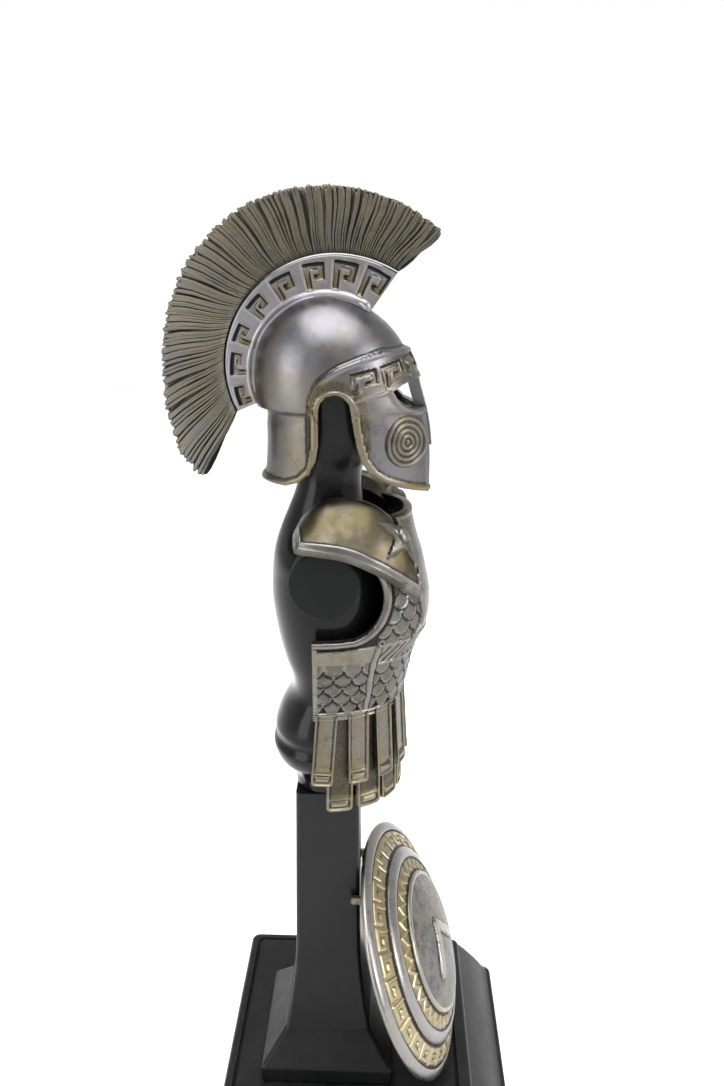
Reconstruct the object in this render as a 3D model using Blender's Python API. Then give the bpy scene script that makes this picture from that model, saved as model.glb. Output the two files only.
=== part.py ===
"""Miniature hoplite armour on a black display stand: crested helmet, front cuirass and leaning round shield.

Metres, +Z up. The armour faces -Y and the origin is the centre of the base's underside.
Inside the figure's functions a place is (side, forward, up): side towards +X, forward towards -Y from the
post's axis, and up from the base's top face.
"""

import math

import bmesh
import bpy
from mathutils import Matrix, Vector

# Fits between neighbouring pieces
GAP = 0.0003

# Base
BASE_WIDTH = 0.0735
BASE_HEIGHT = 0.0160
BASE_CORNER = 0.0020
BASE_ROUND = 0.0012
RIM_WIDTH = 0.0022
GROOVE_WIDTH = 0.0009
GROOVE_DEPTH = 0.0007
SLOPE_RUN = 0.0100
SLOPE_DROP = 0.0105
LEDGE_WIDTH = 0.0014

# Post and its plinth
POST_SET_BACK = 0.0106
POST_HEIGHT = 0.0790
POST_WIDTH_TOP = 0.0152
POST_WIDTH_LOW = 0.0166
POST_CHAMFER = 0.0010
PLINTH_WIDTH = 0.0332
PLINTH_HEIGHT = 0.0045
PLINTH_SLOPE_HEIGHT = 0.0075
FOOT_WIDTH = 0.0214
FLARE_HEIGHT = 0.0240

# Black torso and head form, whose outline is given as shares of these three sizes
TORSO_HEIGHT = 0.1124
TORSO_DEPTH = 0.0260
TORSO_WIDTH = 0.0356
TORSO_SIDES = 20
FOOT_LIP = 0.0002
ARM_RADIUS = 0.0074
ARM_REACH = 0.0210
ARM_FORWARD = 0.0003
ARM_ROUND = 0.0007
SHOULDER_SHARE = 0.62
ARM_SHARE = 0.509
NECK_SHARE = 0.222
HEAD_BACK_SHARE = 0.375
HEAD_FRONT_SHARE = 0.49
HEAD_SIDE_SHARE = 0.281

# Cuirass
CUIRASS_WALL = 0.0013
CUIRASS_CLEARANCE = 0.0005
CUIRASS_DEPTH = 0.0240
CUIRASS_BACK = 0.0024
CUIRASS_HEIGHT = 0.0430
CUIRASS_DROP = 0.0006
ARMHOLE_CLEARANCE = 0.0006
ARMHOLE_AHEAD = 0.0043
ARMHOLE_BELOW = 0.0062
BELT_LOW = 0.0123
BELT_HEIGHT = 0.0036
BELT_LIFT = 0.0005
SCALE_ROWS = 4
SCALES_ROUND = 15
SCALE_LIFT = 0.0006
HEM_LINE = 0.0007
RIB_WIDTH = 0.0013
RIB_LIFT = 0.0007
STRIP_COUNT = 9
UPPER_STRIP_LENGTH = 0.0165
LOWER_STRIP_LENGTH = 0.0240
UPPER_STRIP_SHARE = 0.73
LOWER_STRIP_SHARE = 0.82
STRIP_THICKNESS = 0.0011
STRIP_FLARE = 0.0011
STRIP_SPREAD = 0.0018
GUARD_THICKNESS = 0.0016
GUARD_OVERHANG = 0.0026
GUARD_BORDER = 0.0006
NECK_CLEARANCE = 0.0025
STAR_RADIUS = 0.0062
STAR_LIFT = 0.0011

# Helmet
HELMET_WALL = 0.0015
HEAD_ROOM_BEHIND = 0.00475
HEAD_ROOM_BESIDE = 0.0023
FACE_ROOM = 0.00756
VISOR_LIFT = 0.0009
CHEEK_GAP = 0.0056
NOSE_WIDTH = 0.0030
BOSS_RADIUS = 0.0055
BOSS_LIFT = 0.0007
RIDGE_THICKNESS = 0.0052
RIDGE_FRONT_HEIGHT = 0.0088
RIDGE_BACK_HEIGHT = 0.0050
HOOK_COUNT = 8
HOOK_STROKE = 0.0010
HOOK_DEPTH = 0.0005
HOOK_MARGIN = 0.0011
HELMET_SIDES = 28

# Crest of hair
HAIR_LENGTH = 0.0119
CREST_THICKNESS_TIP = 0.0074
CREST_FLUTE = 0.0006
CREST_LOCKS = 40
CREST_ROOT_FROM = math.radians(54.7)
CREST_ROOT_TO = math.radians(203.4)
CREST_TIP_FROM = math.radians(50.9)
CREST_TIP_TO = math.radians(220.5)

# Shield
SHIELD_RADIUS = 0.0312
SHIELD_DOME = 0.0112
SHIELD_DISC_SHARE = 0.555
SHIELD_FULLNESS = 1.35
SHIELD_CENTRE_RISE = 0.0024
SHIELD_STEP = 0.0005
SHIELD_WALL = 0.0013
SHIELD_RIM = 0.0025
SHIELD_LEAN = math.radians(21.5)
SHIELD_TURN = math.radians(8.0)
SHIELD_STANDOFF = 0.0016
SHIELD_SIDES = 36
CHEVRON_WIDTH = 0.0150
CHEVRON_BAR = 0.0034
CHEVRON_LIFT = 0.0008
CLIP_WIDTH = 0.0016
CLIP_HEIGHT = 0.0018
CLIP_CLEARANCE = 0.0006
CLIP_GRIP = 0.0022
CLIP_BELOW_RIM = 0.0082
PEG_RADIUS = 0.0010
PEG_BELOW_RIM = 0.0034

# Places and fits that follow from the sizes above
TORSO_FOOT = POST_HEIGHT + GAP
HEAD_TOP = TORSO_FOOT + TORSO_HEIGHT
ARM_UP = TORSO_FOOT + ARM_SHARE * TORSO_HEIGHT
CUIRASS_TOP = TORSO_FOOT + SHOULDER_SHARE * TORSO_HEIGHT - CUIRASS_DROP
CUIRASS_HEM = CUIRASS_TOP - CUIRASS_HEIGHT
CUIRASS_WIDTH = TORSO_WIDTH + 2 * (CUIRASS_CLEARANCE + CUIRASS_WALL)
GUARD_NECK = NECK_SHARE * TORSO_WIDTH + NECK_CLEARANCE
GUARD_REACH = ARM_REACH + GUARD_OVERHANG
BOWL_RADIUS = HEAD_BACK_SHARE * TORSO_DEPTH + HEAD_ROOM_BEHIND + HELMET_WALL
BOWL_WIDTH = 2 * (HEAD_SIDE_SHARE * TORSO_WIDTH + HEAD_ROOM_BESIDE + HELMET_WALL)
HELMET_FRONT = HEAD_FRONT_SHARE * TORSO_DEPTH + FACE_ROOM + HELMET_WALL
HELMET_CENTRE = HEAD_TOP + GAP + HELMET_WALL - BOWL_RADIUS
RIDGE_FRONT_RADIUS = BOWL_RADIUS + RIDGE_FRONT_HEIGHT
RIDGE_BACK_RADIUS = BOWL_RADIUS + RIDGE_BACK_HEIGHT
CREST_RADIUS = RIDGE_FRONT_RADIUS + HAIR_LENGTH
SHIELD_TOP = 2 * GAP + 2 * SHIELD_RADIUS * math.cos(SHIELD_LEAN)
CLIP_UP = SHIELD_TOP - CLIP_BELOW_RIM


def place(side, forward, up):
    """World point of a place given from the post's axis and the base's top face."""
    return Vector((side, POST_SET_BACK - forward, BASE_HEIGHT + up))


def smooth(stations, t):
    """Value at t of a curve through (t, value, ...) stations, with slopes taken from the neighbours."""
    if t <= stations[0][0]:
        return stations[0][1:]
    if t >= stations[-1][0]:
        return stations[-1][1:]
    k = max(i for i in range(len(stations) - 1) if stations[i][0] <= t)
    before = stations[max(k - 1, 0)]
    low = stations[k]
    high = stations[k + 1]
    after = stations[min(k + 2, len(stations) - 1)]
    span = high[0] - low[0]
    s = (t - low[0]) / span
    values = []
    for b, p, q, a in zip(before[1:], low[1:], high[1:], after[1:]):
        slope_p = (q - b) / (high[0] - before[0]) * span
        slope_q = (a - p) / (after[0] - low[0]) * span
        values.append(
            p * (1 + 2 * s) * (1 - s) ** 2
            + slope_p * s * (1 - s) ** 2
            + q * s * s * (3 - 2 * s)
            + slope_q * s * s * (s - 1)
        )
    return tuple(values)


def mix(a, b, t):
    return a + (b - a) * t


def material(name, colour, roughness, metallic):
    made = bpy.data.materials.new(name)
    made.use_nodes = True
    shader = made.node_tree.nodes["Principled BSDF"]
    shader.inputs["Base Color"].default_value = (*colour, 1.0)
    shader.inputs["Roughness"].default_value = roughness
    shader.inputs["Metallic"].default_value = metallic
    return made


def finish(bm, name, made, sharp=35.0):
    """Turns a closed bmesh into a named object with its faces pointing out."""
    bmesh.ops.recalc_face_normals(bm, faces=bm.faces)
    mesh = bpy.data.meshes.new(name)
    bm.to_mesh(mesh)
    bm.free()
    obj = bpy.data.objects.new(name, mesh)
    bpy.context.scene.collection.objects.link(obj)
    mesh.materials.append(made)
    mesh.shade_smooth()
    mesh.set_sharp_from_angle(angle=math.radians(sharp))
    return obj


def join_rings(bm, low, high):
    """Faces between two closed rings, where one ring may have twice the points of the other."""
    n = len(low)
    m = len(high)
    if n == m:
        for i in range(n):
            j = (i + 1) % n
            bm.faces.new((low[i], low[j], high[j], high[i]))
        return
    fine, coarse = (low, high) if n > m else (high, low)
    count = len(coarse)
    for i in range(count):
        j = (i + 1) % count
        a = fine[2 * i]
        b = fine[2 * i + 1]
        c = fine[(2 * i + 2) % len(fine)]
        bm.faces.new((a, b, coarse[i]))
        bm.faces.new((b, coarse[j], coarse[i]))
        bm.faces.new((b, c, coarse[j]))


def add_loft(bm, rings, close_low=True, close_high=True):
    """Skins closed rings of points one after another; a ring of one point is a pole."""
    made = [[bm.verts.new(point) for point in ring] for ring in rings]
    for low, high in zip(made, made[1:]):
        if len(low) == 1 or len(high) == 1:
            ring, pole = (high, low[0]) if len(low) == 1 else (low, high[0])
            for i in range(len(ring)):
                bm.faces.new((ring[i], ring[(i + 1) % len(ring)], pole))
        else:
            join_rings(bm, low, high)
    if close_low and len(made[0]) > 2:
        bm.faces.new(made[0])
    if close_high and len(made[-1]) > 2:
        bm.faces.new(made[-1])


def lofted(name, rings, made, sharp=35.0):
    bm = bmesh.new()
    add_loft(bm, rings)
    return finish(bm, name, made, sharp)


def prism(name, outline, side_from, side_to, made):
    """A (forward, up) outline pushed across the figure, from one side place to another."""
    rings = [[place(side, forward, up) for forward, up in outline] for side in (side_from, side_to)]
    return lofted(name, rings, made)


def combine(obj, other, operation):
    """Adds a Boolean, and hides the other object as its tool."""
    other.hide_render = True
    other.display_type = "WIRE"
    boolean = obj.modifiers.new(operation.title(), "BOOLEAN")
    boolean.operation = operation
    boolean.solver = "EXACT"
    boolean.object = other
    return boolean


def rounded_square(width, front, back, corner, up):
    """A ring of a square with rounded corners: half width at the sides, and its front and back places."""
    points = []
    for turn, (sx, sy) in enumerate(((1, 1), (-1, 1), (-1, -1), (1, -1))):
        centre_side = sx * (width - corner)
        centre_y = (back - corner) if sy > 0 else (front + corner)
        for step in range(3):
            angle = math.radians(90 * turn + 45 * step)
            points.append(
                Vector((centre_side + corner * math.cos(angle), centre_y + corner * math.sin(angle), up))
            )
    return points


def build_base(made):
    half = BASE_WIDTH / 2
    ledge_up = BASE_HEIGHT - SLOPE_DROP
    groove_up = BASE_HEIGHT - GROOVE_DEPTH
    wall = GROOVE_WIDTH / 4
    # Each ring: height, inset at the sides and back, further inset at the front
    rings = (
        (0.0, BASE_ROUND / 2, 0.0),
        (BASE_ROUND / 2, 0.0, 0.0),
        (ledge_up - BASE_ROUND / 2, 0.0, 0.0),
        (ledge_up, 0.0, BASE_ROUND / 2),
        (ledge_up + BASE_ROUND / 4, 0.0, LEDGE_WIDTH),
        (mix(ledge_up, BASE_HEIGHT, 0.5), 0.0, LEDGE_WIDTH + 0.42 * SLOPE_RUN),
        (BASE_HEIGHT - BASE_ROUND, 0.0, LEDGE_WIDTH + SLOPE_RUN - BASE_ROUND),
        (BASE_HEIGHT - 0.3 * BASE_ROUND, 0.3 * BASE_ROUND, LEDGE_WIDTH + SLOPE_RUN - BASE_ROUND),
        (BASE_HEIGHT, BASE_ROUND, LEDGE_WIDTH + SLOPE_RUN - BASE_ROUND),
        (BASE_HEIGHT, RIM_WIDTH, LEDGE_WIDTH + SLOPE_RUN),
        (groove_up, RIM_WIDTH + wall, LEDGE_WIDTH + SLOPE_RUN),
        (groove_up, RIM_WIDTH + GROOVE_WIDTH - wall, LEDGE_WIDTH + SLOPE_RUN),
        (BASE_HEIGHT, RIM_WIDTH + GROOVE_WIDTH, LEDGE_WIDTH + SLOPE_RUN),
    )
    skins = [
        rounded_square(half - inset, -half + inset + front, half - inset, BASE_CORNER, up)
        for up, inset, front in rings
    ]
    return lofted("base", skins, made, 50.0)


def post_half(up):
    """Half width of the post's flat sides at a height over the base's top."""
    foot = PLINTH_HEIGHT + PLINTH_SLOPE_HEIGHT
    if up <= PLINTH_HEIGHT:
        return PLINTH_WIDTH / 2
    if up <= foot:
        return mix(PLINTH_WIDTH, FOOT_WIDTH, (up - PLINTH_HEIGHT) / PLINTH_SLOPE_HEIGHT) / 2
    straight = mix(POST_WIDTH_LOW, POST_WIDTH_TOP, (up - foot) / (POST_HEIGHT - foot)) / 2
    flare = max(0.0, 1 - (up - foot) / FLARE_HEIGHT)
    return straight + (FOOT_WIDTH - POST_WIDTH_LOW) / 2 * flare**1.7


def build_post(made):
    foot = PLINTH_HEIGHT + PLINTH_SLOPE_HEIGHT
    ups = [GAP, PLINTH_HEIGHT, foot]
    ups += [foot + FLARE_HEIGHT * step / 5 for step in range(1, 6)]
    ups += [mix(foot + FLARE_HEIGHT, POST_HEIGHT, step / 2) for step in (1, 2)]
    rings = []
    for up in ups:
        half = post_half(up)
        flat = half - POST_CHAMFER
        corners = (
            (half, -flat), (half, flat), (flat, half), (-flat, half),
            (-half, flat), (-half, -flat), (-flat, -half), (flat, -half),
        )
        rings.append([place(side, forward, up) for side, forward in corners])
    return lofted("post", rings, made, 20.0)


# Torso and head form, from the post to the crown: share of the height, then back, front and half
# width as shares of the torso's depth and width
TORSO_STATIONS = (
    (0.030, 0.32, 0.32, 0.242),
    (0.055, 0.37, 0.37, 0.310),
    (0.078, 0.46, 0.46, 0.393),
    (0.110, 0.505, 0.50, 0.433),
    (0.128, 0.47, 0.475, 0.410),
    (0.148, 0.485, 0.49, 0.421),
    (0.185, 0.43, 0.48, 0.396),
    (0.230, 0.325, 0.455, 0.362),
    (0.262, 0.325, 0.46, 0.368),
    (0.310, 0.39, 0.49, 0.410),
    (0.365, 0.445, 0.52, 0.455),
    (0.435, 0.485, 0.54, 0.494),
    (0.490, 0.480, 0.525, 0.500),
    (0.535, 0.455, 0.48, 0.489),
    (0.575, 0.40, 0.41, 0.300),
    (0.612, 0.335, 0.32, NECK_SHARE),
    (0.650, 0.275, 0.285, 0.206),
    (0.690, 0.245, 0.290, 0.198),
    (0.725, 0.265, 0.37, 0.216),
    (0.775, 0.325, 0.47, 0.256),
    (0.830, 0.365, HEAD_FRONT_SHARE, 0.278),
    (0.885, HEAD_BACK_SHARE, 0.45, HEAD_SIDE_SHARE),
    (0.935, 0.330, 0.365, 0.253),
    (0.975, 0.215, 0.225, 0.166),
)


def oval(back, front, half, sides, power=2.0):
    """Plan points of an egg shape: its back, front and half width, squarer for a higher power."""
    points = []
    for i in range(sides):
        angle = 2 * math.pi * i / sides
        c = math.cos(angle)
        s = math.sin(angle)
        reach = front if c > 0 else back
        points.append(
            (
                half * math.copysign(abs(s) ** (2 / power), s),
                reach * math.copysign(abs(c) ** (2 / power), c),
            )
        )
    return points


def build_torso(made):
    foot = POST_WIDTH_TOP / 2 + FOOT_LIP
    rings = [[place(x, y, TORSO_FOOT) for x, y in oval(foot, foot, foot, TORSO_SIDES, 2.2)]]
    for share, back_share, front_share, half_share in TORSO_STATIONS:
        back = back_share * TORSO_DEPTH
        front = front_share * TORSO_DEPTH
        plan = oval(back, front, half_share * TORSO_WIDTH, TORSO_SIDES, 2.2)
        rings.append([place(x, y, TORSO_FOOT + share * TORSO_HEIGHT) for x, y in plan])
    rings.append([place(0.0, 0.0, HEAD_TOP)])
    torso = lofted("torso_form", rings, made, 50.0)
    profile = (
        (0.5 * ARM_REACH, ARM_RADIUS),
        (ARM_REACH - ARM_ROUND, ARM_RADIUS),
        (ARM_REACH, ARM_RADIUS - ARM_ROUND),
    )
    stubs = bmesh.new()
    for side in (1, -1):
        skins = []
        for reach, radius in profile:
            plan = oval(radius, radius, radius, TORSO_SIDES)
            skins.append([place(side * reach, ARM_FORWARD + x, ARM_UP + y) for x, y in plan])
        add_loft(stubs, skins)
    combine(torso, finish(stubs, "arm_stub_tool", made), "UNION")
    return torso


# Cuirass outline from hem to collar: share of the height, then front reach and half width as shares
CUIRASS_STATIONS = (
    (-0.60, 0.790, 0.455),
    (-0.30, 0.800, 0.460),
    (0.00, 0.800, 0.452),
    (0.09, 0.845, 0.458),
    (0.20, 0.885, 0.468),
    (0.285, 0.930, 0.476),
    (0.34, 0.985, 0.484),
    (0.40, 1.025, 0.492),
    (0.48, 1.045, 0.505),
    (0.57, 1.038, 0.512),
    (0.65, 1.010, 0.510),
    (0.75, 0.970, 0.498),
    (0.84, 0.918, 0.475),
    (0.94, 0.872, 0.425),
    (1.00, 0.850, 0.380),
)


def cuirass_point(turn, share, lift):
    """A place on the cuirass: turn from -1 at one side edge to 1 at the other, share of the height, lift."""
    front, half = smooth(CUIRASS_STATIONS, share)
    angle = turn * math.pi / 2
    reach = front * CUIRASS_DEPTH + lift
    width = half * CUIRASS_WIDTH + lift
    side = width * math.copysign(abs(math.sin(angle)) ** 0.88, angle)
    forward = -CUIRASS_BACK + reach * max(math.cos(angle), 0.0) ** 0.92
    return (side, forward, CUIRASS_HEM + share * CUIRASS_HEIGHT)


def cuirass_rings():
    """Open rings of the front from the hem to the collar, with hem lines, scales and belt raised on it."""
    columns = 2 * SCALES_ROUND
    belt_low = BELT_LOW / CUIRASS_HEIGHT
    belt_high = belt_low + BELT_HEIGHT / CUIRASS_HEIGHT
    line = HEM_LINE / CUIRASS_HEIGHT

    def plain(share, lift=0.0):
        return [cuirass_point(2 * i / SCALES_ROUND - 1, share, lift) for i in range(SCALES_ROUND + 1)]

    rings = [plain(-1.4 * line), plain(-line, HEM_LINE), plain(0.4 * line, HEM_LINE), plain(0.8 * line)]
    rings += [plain(1.1 * line), plain(1.6 * line, HEM_LINE), plain(2.6 * line, HEM_LINE)]
    scale_low = 3.2 * line
    pitch = (belt_low - scale_low) / SCALE_ROWS
    for row in range(SCALE_ROWS):
        for lift, rise in ((0.0, 0.0), (SCALE_LIFT, 0.04)):
            ring = []
            for i in range(columns + 1):
                hang = 0.0 if (i + row) % 2 else 0.42
                share = scale_low + pitch * (row + hang + rise)
                ring.append(cuirass_point(2 * i / columns - 1, share, lift))
            rings.append(ring)
    rings += [plain(belt_low), plain(belt_low + 0.3 * line, BELT_LIFT), plain(belt_high, BELT_LIFT)]
    rings += [plain(belt_high + 0.3 * line)]
    rings += [plain(share) for share in (0.42, 0.50, 0.58, 0.66, 0.75, 0.84, 0.92, 1.0)]
    return rings


def skin_open_rings(bm, rings):
    """Skins rings that are open at the back, then closes the back, the foot and the top flat."""
    made = [[bm.verts.new(place(*point)) for point in ring] for ring in rings]
    for low, high in zip(made, made[1:]):
        if len(low) == len(high):
            for i in range(len(low) - 1):
                bm.faces.new((low[i], low[i + 1], high[i + 1], high[i]))
        else:
            fine, coarse = (low, high) if len(low) > len(high) else (high, low)
            times = (len(fine) - 1) // (len(coarse) - 1)
            for i in range(len(coarse) - 1):
                fan = fine[times * i: times * (i + 1) + 1]
                half = len(fan) // 2
                for k in range(len(fan) - 1):
                    corner = coarse[i] if k < half else coarse[i + 1]
                    bm.faces.new((fan[k], fan[k + 1], corner))
                bm.faces.new((fan[half], coarse[i + 1], coarse[i]))
    bm.faces.new([ring[0] for ring in made] + [ring[-1] for ring in reversed(made)])
    bm.faces.new(made[0])
    bm.faces.new(made[-1])


def inner_cuirass(made):
    """The hollow behind the cuirass, with its own wider back and ends so that it cuts clean through."""
    columns = 16
    rings = []
    for share in (-0.05, 0.1, 0.3, 0.5, 0.66, 0.84, 1.05):
        ring = [cuirass_point(2 * i / columns - 1, share, -CUIRASS_WALL) for i in range(columns + 1)]
        first = ring[0]
        last = ring[-1]
        behind = -CUIRASS_BACK - CUIRASS_DEPTH
        ring = [(first[0], behind, first[2])] + ring + [(last[0], behind, last[2])]
        rings.append([place(*point) for point in ring])
    return lofted("cuirass_hollow_tool", rings, made)


def armhole_outline():
    """Side view of an armhole, which is open to the back: forward and up places along its edge."""
    low = ARM_UP - ARM_RADIUS - ARMHOLE_BELOW
    radius = ARM_RADIUS + ARMHOLE_CLEARANCE
    centre = ARM_FORWARD + ARMHOLE_AHEAD
    outline = [(-CUIRASS_DEPTH, low), (0.4 * centre, low + 0.05 * radius)]
    for step in range(9):
        angle = math.radians(17 * step - 80)
        up = low + 1.19 * radius + 1.12 * radius * math.sin(angle)
        outline.append((centre + radius * math.cos(angle), up))
    top = outline[-1][1] + 0.6 * radius
    outline += [(centre + 0.1 * radius, top), (-CUIRASS_DEPTH, top)]
    return outline


# Shoulder guard from its back end to its front end, in shares of the guard's reach: forward and up of the
# crown line, then of the outer edge, then how far out that edge is; up is counted from the collar
GUARD_STATIONS = (
    (0.00, -0.254, -0.081, -0.229, -0.110, 0.90),
    (0.12, -0.178, 0.042, -0.195, -0.140, 0.97),
    (0.30, 0.017, 0.169, -0.034, -0.153, 1.00),
    (0.50, 0.271, 0.169, 0.220, -0.195, 1.00),
    (0.68, 0.500, 0.076, 0.458, -0.305, 0.97),
    (0.84, 0.720, -0.144, 0.669, -0.458, 0.87),
    (1.00, 0.847, -0.475, 0.864, -0.627, 0.72),
)


GUARD_INWARD = Vector((-0.5, -0.35, -0.8)).normalized()


def guard_point(along, across, drop):
    """A place on a shoulder guard: along from back to front, across from the neck to its outer edge."""
    crown_f, crown_u, edge_f, edge_u, out = (GUARD_REACH * value for value in smooth(GUARD_STATIONS, along))
    neck = (GUARD_NECK, crown_f - 0.25 * GUARD_THICKNESS, crown_u - 0.6 * GUARD_THICKNESS)
    crown = (mix(GUARD_NECK, GUARD_REACH, 0.42), crown_f, crown_u)
    edge = (out, edge_f, edge_u)
    middle = [2 * crown[k] - 0.5 * (neck[k] + edge[k]) for k in range(3)]
    s = across
    point = [(1 - s) ** 2 * neck[k] + 2 * s * (1 - s) * middle[k] + s * s * edge[k] for k in range(3)]
    inward = GUARD_INWARD * drop
    return (point[0] + inward[0], point[1] + inward[1], CUIRASS_TOP + point[2] + inward[2])


def add_guards(bm):
    """Both guards, each a curved plate with a raised border along its outer edge."""
    alongs = [i / 10 for i in range(11)]
    acrosses = [0.0, 0.2, 0.4, 0.6, 0.80, 0.84, 1.0]
    for mirror in (1, -1):
        rings = []
        for along in alongs:
            outer = []
            for across in acrosses:
                border = -GUARD_BORDER if across > 0.82 or along < 0.02 else 0.0
                side, forward, up = guard_point(along, across, border)
                outer.append(place(mirror * side, forward, up))
            inner = []
            for across in reversed(acrosses[::2] + [1.0]):
                side, forward, up = guard_point(along, across, GUARD_THICKNESS)
                inner.append(place(mirror * side, forward, up))
            rings.append(outer + inner)
        add_loft(bm, rings)


def strip_rings(turn_from, turn_to, low, lift_in, lift_out):
    """A hanging strip: a curved plate from the hem down to its foot, which flares out and to the back."""
    rings = []
    for share in (0.0, 0.5 * low, low):
        flare = STRIP_FLARE * share / low
        back = STRIP_SPREAD * share / low
        turns = [mix(turn_from, turn_to, part) for part in (0.0, 0.5, 1.0)]
        ring = []
        for turn, lift in [(t, lift_out) for t in turns] + [(t, lift_in) for t in reversed(turns)]:
            side, forward, up = cuirass_point(turn, share, lift + flare)
            ring.append(place(side, forward - back * turn**4, up))
        rings.append(ring)
    return rings


def add_strips(bm, count, fill, length, lift_in, lift_out):
    """One row of hanging strips around the hem, each filling a share of its pitch."""
    pitch = 2.0 / (STRIP_COUNT - 1 + UPPER_STRIP_SHARE)
    first = -pitch * (count - 1) / 2
    half = 0.5 * fill * pitch
    for k in range(count):
        centre = first + pitch * k
        add_loft(bm, strip_rings(centre - half, centre + half, -length / CUIRASS_HEIGHT, lift_in, lift_out))


def add_rib(bm, route, side):
    """A raised rib along (turn, share) places on one side of the cuirass."""
    rings = []
    for k, (turn, share) in enumerate(route):
        before = route[max(k - 1, 0)]
        after = route[min(k + 1, len(route) - 1)]
        along = Vector(cuirass_point(*after, 0.0)) - Vector(cuirass_point(*before, 0.0))
        here = Vector(cuirass_point(turn, share, 0.0))
        outward = (Vector(cuirass_point(turn, share, CUIRASS_WALL)) - here).normalized()
        across = along.cross(outward).normalized() * RIB_WIDTH / 2
        sunk = here - outward * CUIRASS_WALL / 2
        raised = here + outward * RIB_LIFT
        corners = (sunk - across, raised - 0.6 * across, raised + 0.6 * across, sunk + across)
        rings.append([place(side * x, forward, up) for x, forward, up in corners])
    add_loft(bm, rings)


# The chest band from the guard's border round to the side, and the strap down the flank: turn, then share
CHEST_BAND = ((0.40, 0.70), (0.32, 0.665), (0.27, 0.60), (0.247, 0.50), (0.27, 0.43), (0.33, 0.388))
FLANK_STRAP = ((0.625, 0.34), (0.63, 0.18), (0.63, 0.035))


def add_star(bm, side):
    """A raised five-pointed star with a ridge down each point, on the front of a shoulder guard."""
    centre = Vector(guard_point(0.82, 0.50, 0.0))
    ahead = (Vector(guard_point(0.92, 0.50, 0.0)) - centre).normalized()
    outward = (Vector(guard_point(0.82, 0.60, 0.0)) - centre).normalized()
    normal = outward.cross(ahead).normalized()
    outward = ahead.cross(normal)
    base = []
    for i in range(10):
        reach = STAR_RADIUS if i % 2 == 0 else 0.42 * STAR_RADIUS
        angle = math.pi * i / 5 + math.radians(150)
        spread = ahead * math.cos(angle) + outward * math.sin(angle)
        base.append(centre + reach * spread - normal * GUARD_THICKNESS * (0.9 if i % 2 == 0 else 0.3))
    peak = centre + normal * STAR_LIFT
    rings = [[place(side * x, forward, up) for x, forward, up in ring] for ring in (base, [peak])]
    add_loft(bm, rings)


def build_cuirass(made):
    bm = bmesh.new()
    skin_open_rings(bm, cuirass_rings())
    cuirass = finish(bm, "cuirass", made, 30.0)
    strips = bmesh.new()
    upper_sink = -0.5 * CUIRASS_WALL
    add_strips(strips, STRIP_COUNT, UPPER_STRIP_SHARE, UPPER_STRIP_LENGTH, upper_sink, STRIP_THICKNESS)
    lower = bmesh.new()
    lower_sink = -0.9 * CUIRASS_WALL
    lower_lift = 0.1 * STRIP_THICKNESS
    add_strips(lower, STRIP_COUNT - 1, LOWER_STRIP_SHARE, LOWER_STRIP_LENGTH, lower_sink, lower_lift)
    guards = bmesh.new()
    add_guards(guards)
    ribs = bmesh.new()
    stars = bmesh.new()
    for side in (1, -1):
        add_rib(ribs, CHEST_BAND, side)
        add_rib(ribs, FLANK_STRAP, side)
        add_star(stars, side)
    combine(cuirass, inner_cuirass(made), "DIFFERENCE")
    armholes = prism("armhole_tool", armhole_outline(), -GUARD_REACH, GUARD_REACH, made)
    combine(cuirass, armholes, "DIFFERENCE")
    combine(cuirass, finish(ribs, "rib_tool", made), "UNION")
    combine(cuirass, finish(strips, "upper_strip_tool", made), "UNION")
    combine(cuirass, finish(lower, "lower_strip_tool", made), "UNION")
    combine(cuirass, finish(guards, "guard_tool", made), "UNION")
    combine(cuirass, finish(stars, "star_tool", made), "UNION")
    return cuirass


# Helmet from its lower edge to the bowl's widest: height from the helmet's centre as a share of the bowl's
# radius, then back, front and half width as shares of the bowl's radius, helmet front and bowl width
HELMET_STATIONS = (
    (-1.62, 0.885, 1.000, 0.440),
    (-1.42, 0.900, 1.000, 0.450),
    (-1.28, 0.850, 0.998, 0.458),
    (-1.00, 0.825, 0.990, 0.468),
    (-0.70, 0.820, 0.965, 0.476),
    (-0.46, 0.830, 0.930, 0.480),
    (-0.44, 0.945, 0.925, 0.492),
    (-0.12, 0.990, 0.855, 0.500),
    (0.12, 0.985, 0.815, 0.498),
    (0.30, 0.955, 0.745, 0.480),
)


def helmet_ring(share, lift, sides):
    """Plan points of the helmet at a height share of the bowl's radius over its centre."""
    if share > 0.30:
        elevation = math.asin(min(share, 1.0))
        fade = math.cos(elevation) / math.cos(math.asin(0.30))
        back, front, half = (value * fade for value in HELMET_STATIONS[-1][1:])
        front *= fade**0.3
    else:
        back, front, half = smooth(HELMET_STATIONS, share)
    points = []
    for i in range(sides):
        angle = 2 * math.pi * i / sides
        c = math.cos(angle)
        s = math.sin(angle)
        prow = 1.12 if (c > 0 and share < 0.3) else 1.0
        reach = (front * HELMET_FRONT if c > 0 else back * BOWL_RADIUS) + lift
        width = half * BOWL_WIDTH + lift
        side = width * math.copysign(abs(s) ** prow, s)
        points.append(place(side, reach * c, HELMET_CENTRE + share * BOWL_RADIUS))
    return points


def helmet_solid(name, lift, sides, shares, made):
    rings = [helmet_ring(share, lift, sides) for share in shares]
    rings.append([place(0.0, 0.0, HELMET_CENTRE + BOWL_RADIUS + lift)])
    return lofted(name, rings, made, 40.0)


def helmet_place(forward, up):
    """A (forward, up) place given from the bowl's centre, in bowl radii."""
    return (forward * BOWL_RADIUS, HELMET_CENTRE + up * BOWL_RADIUS)


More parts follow.
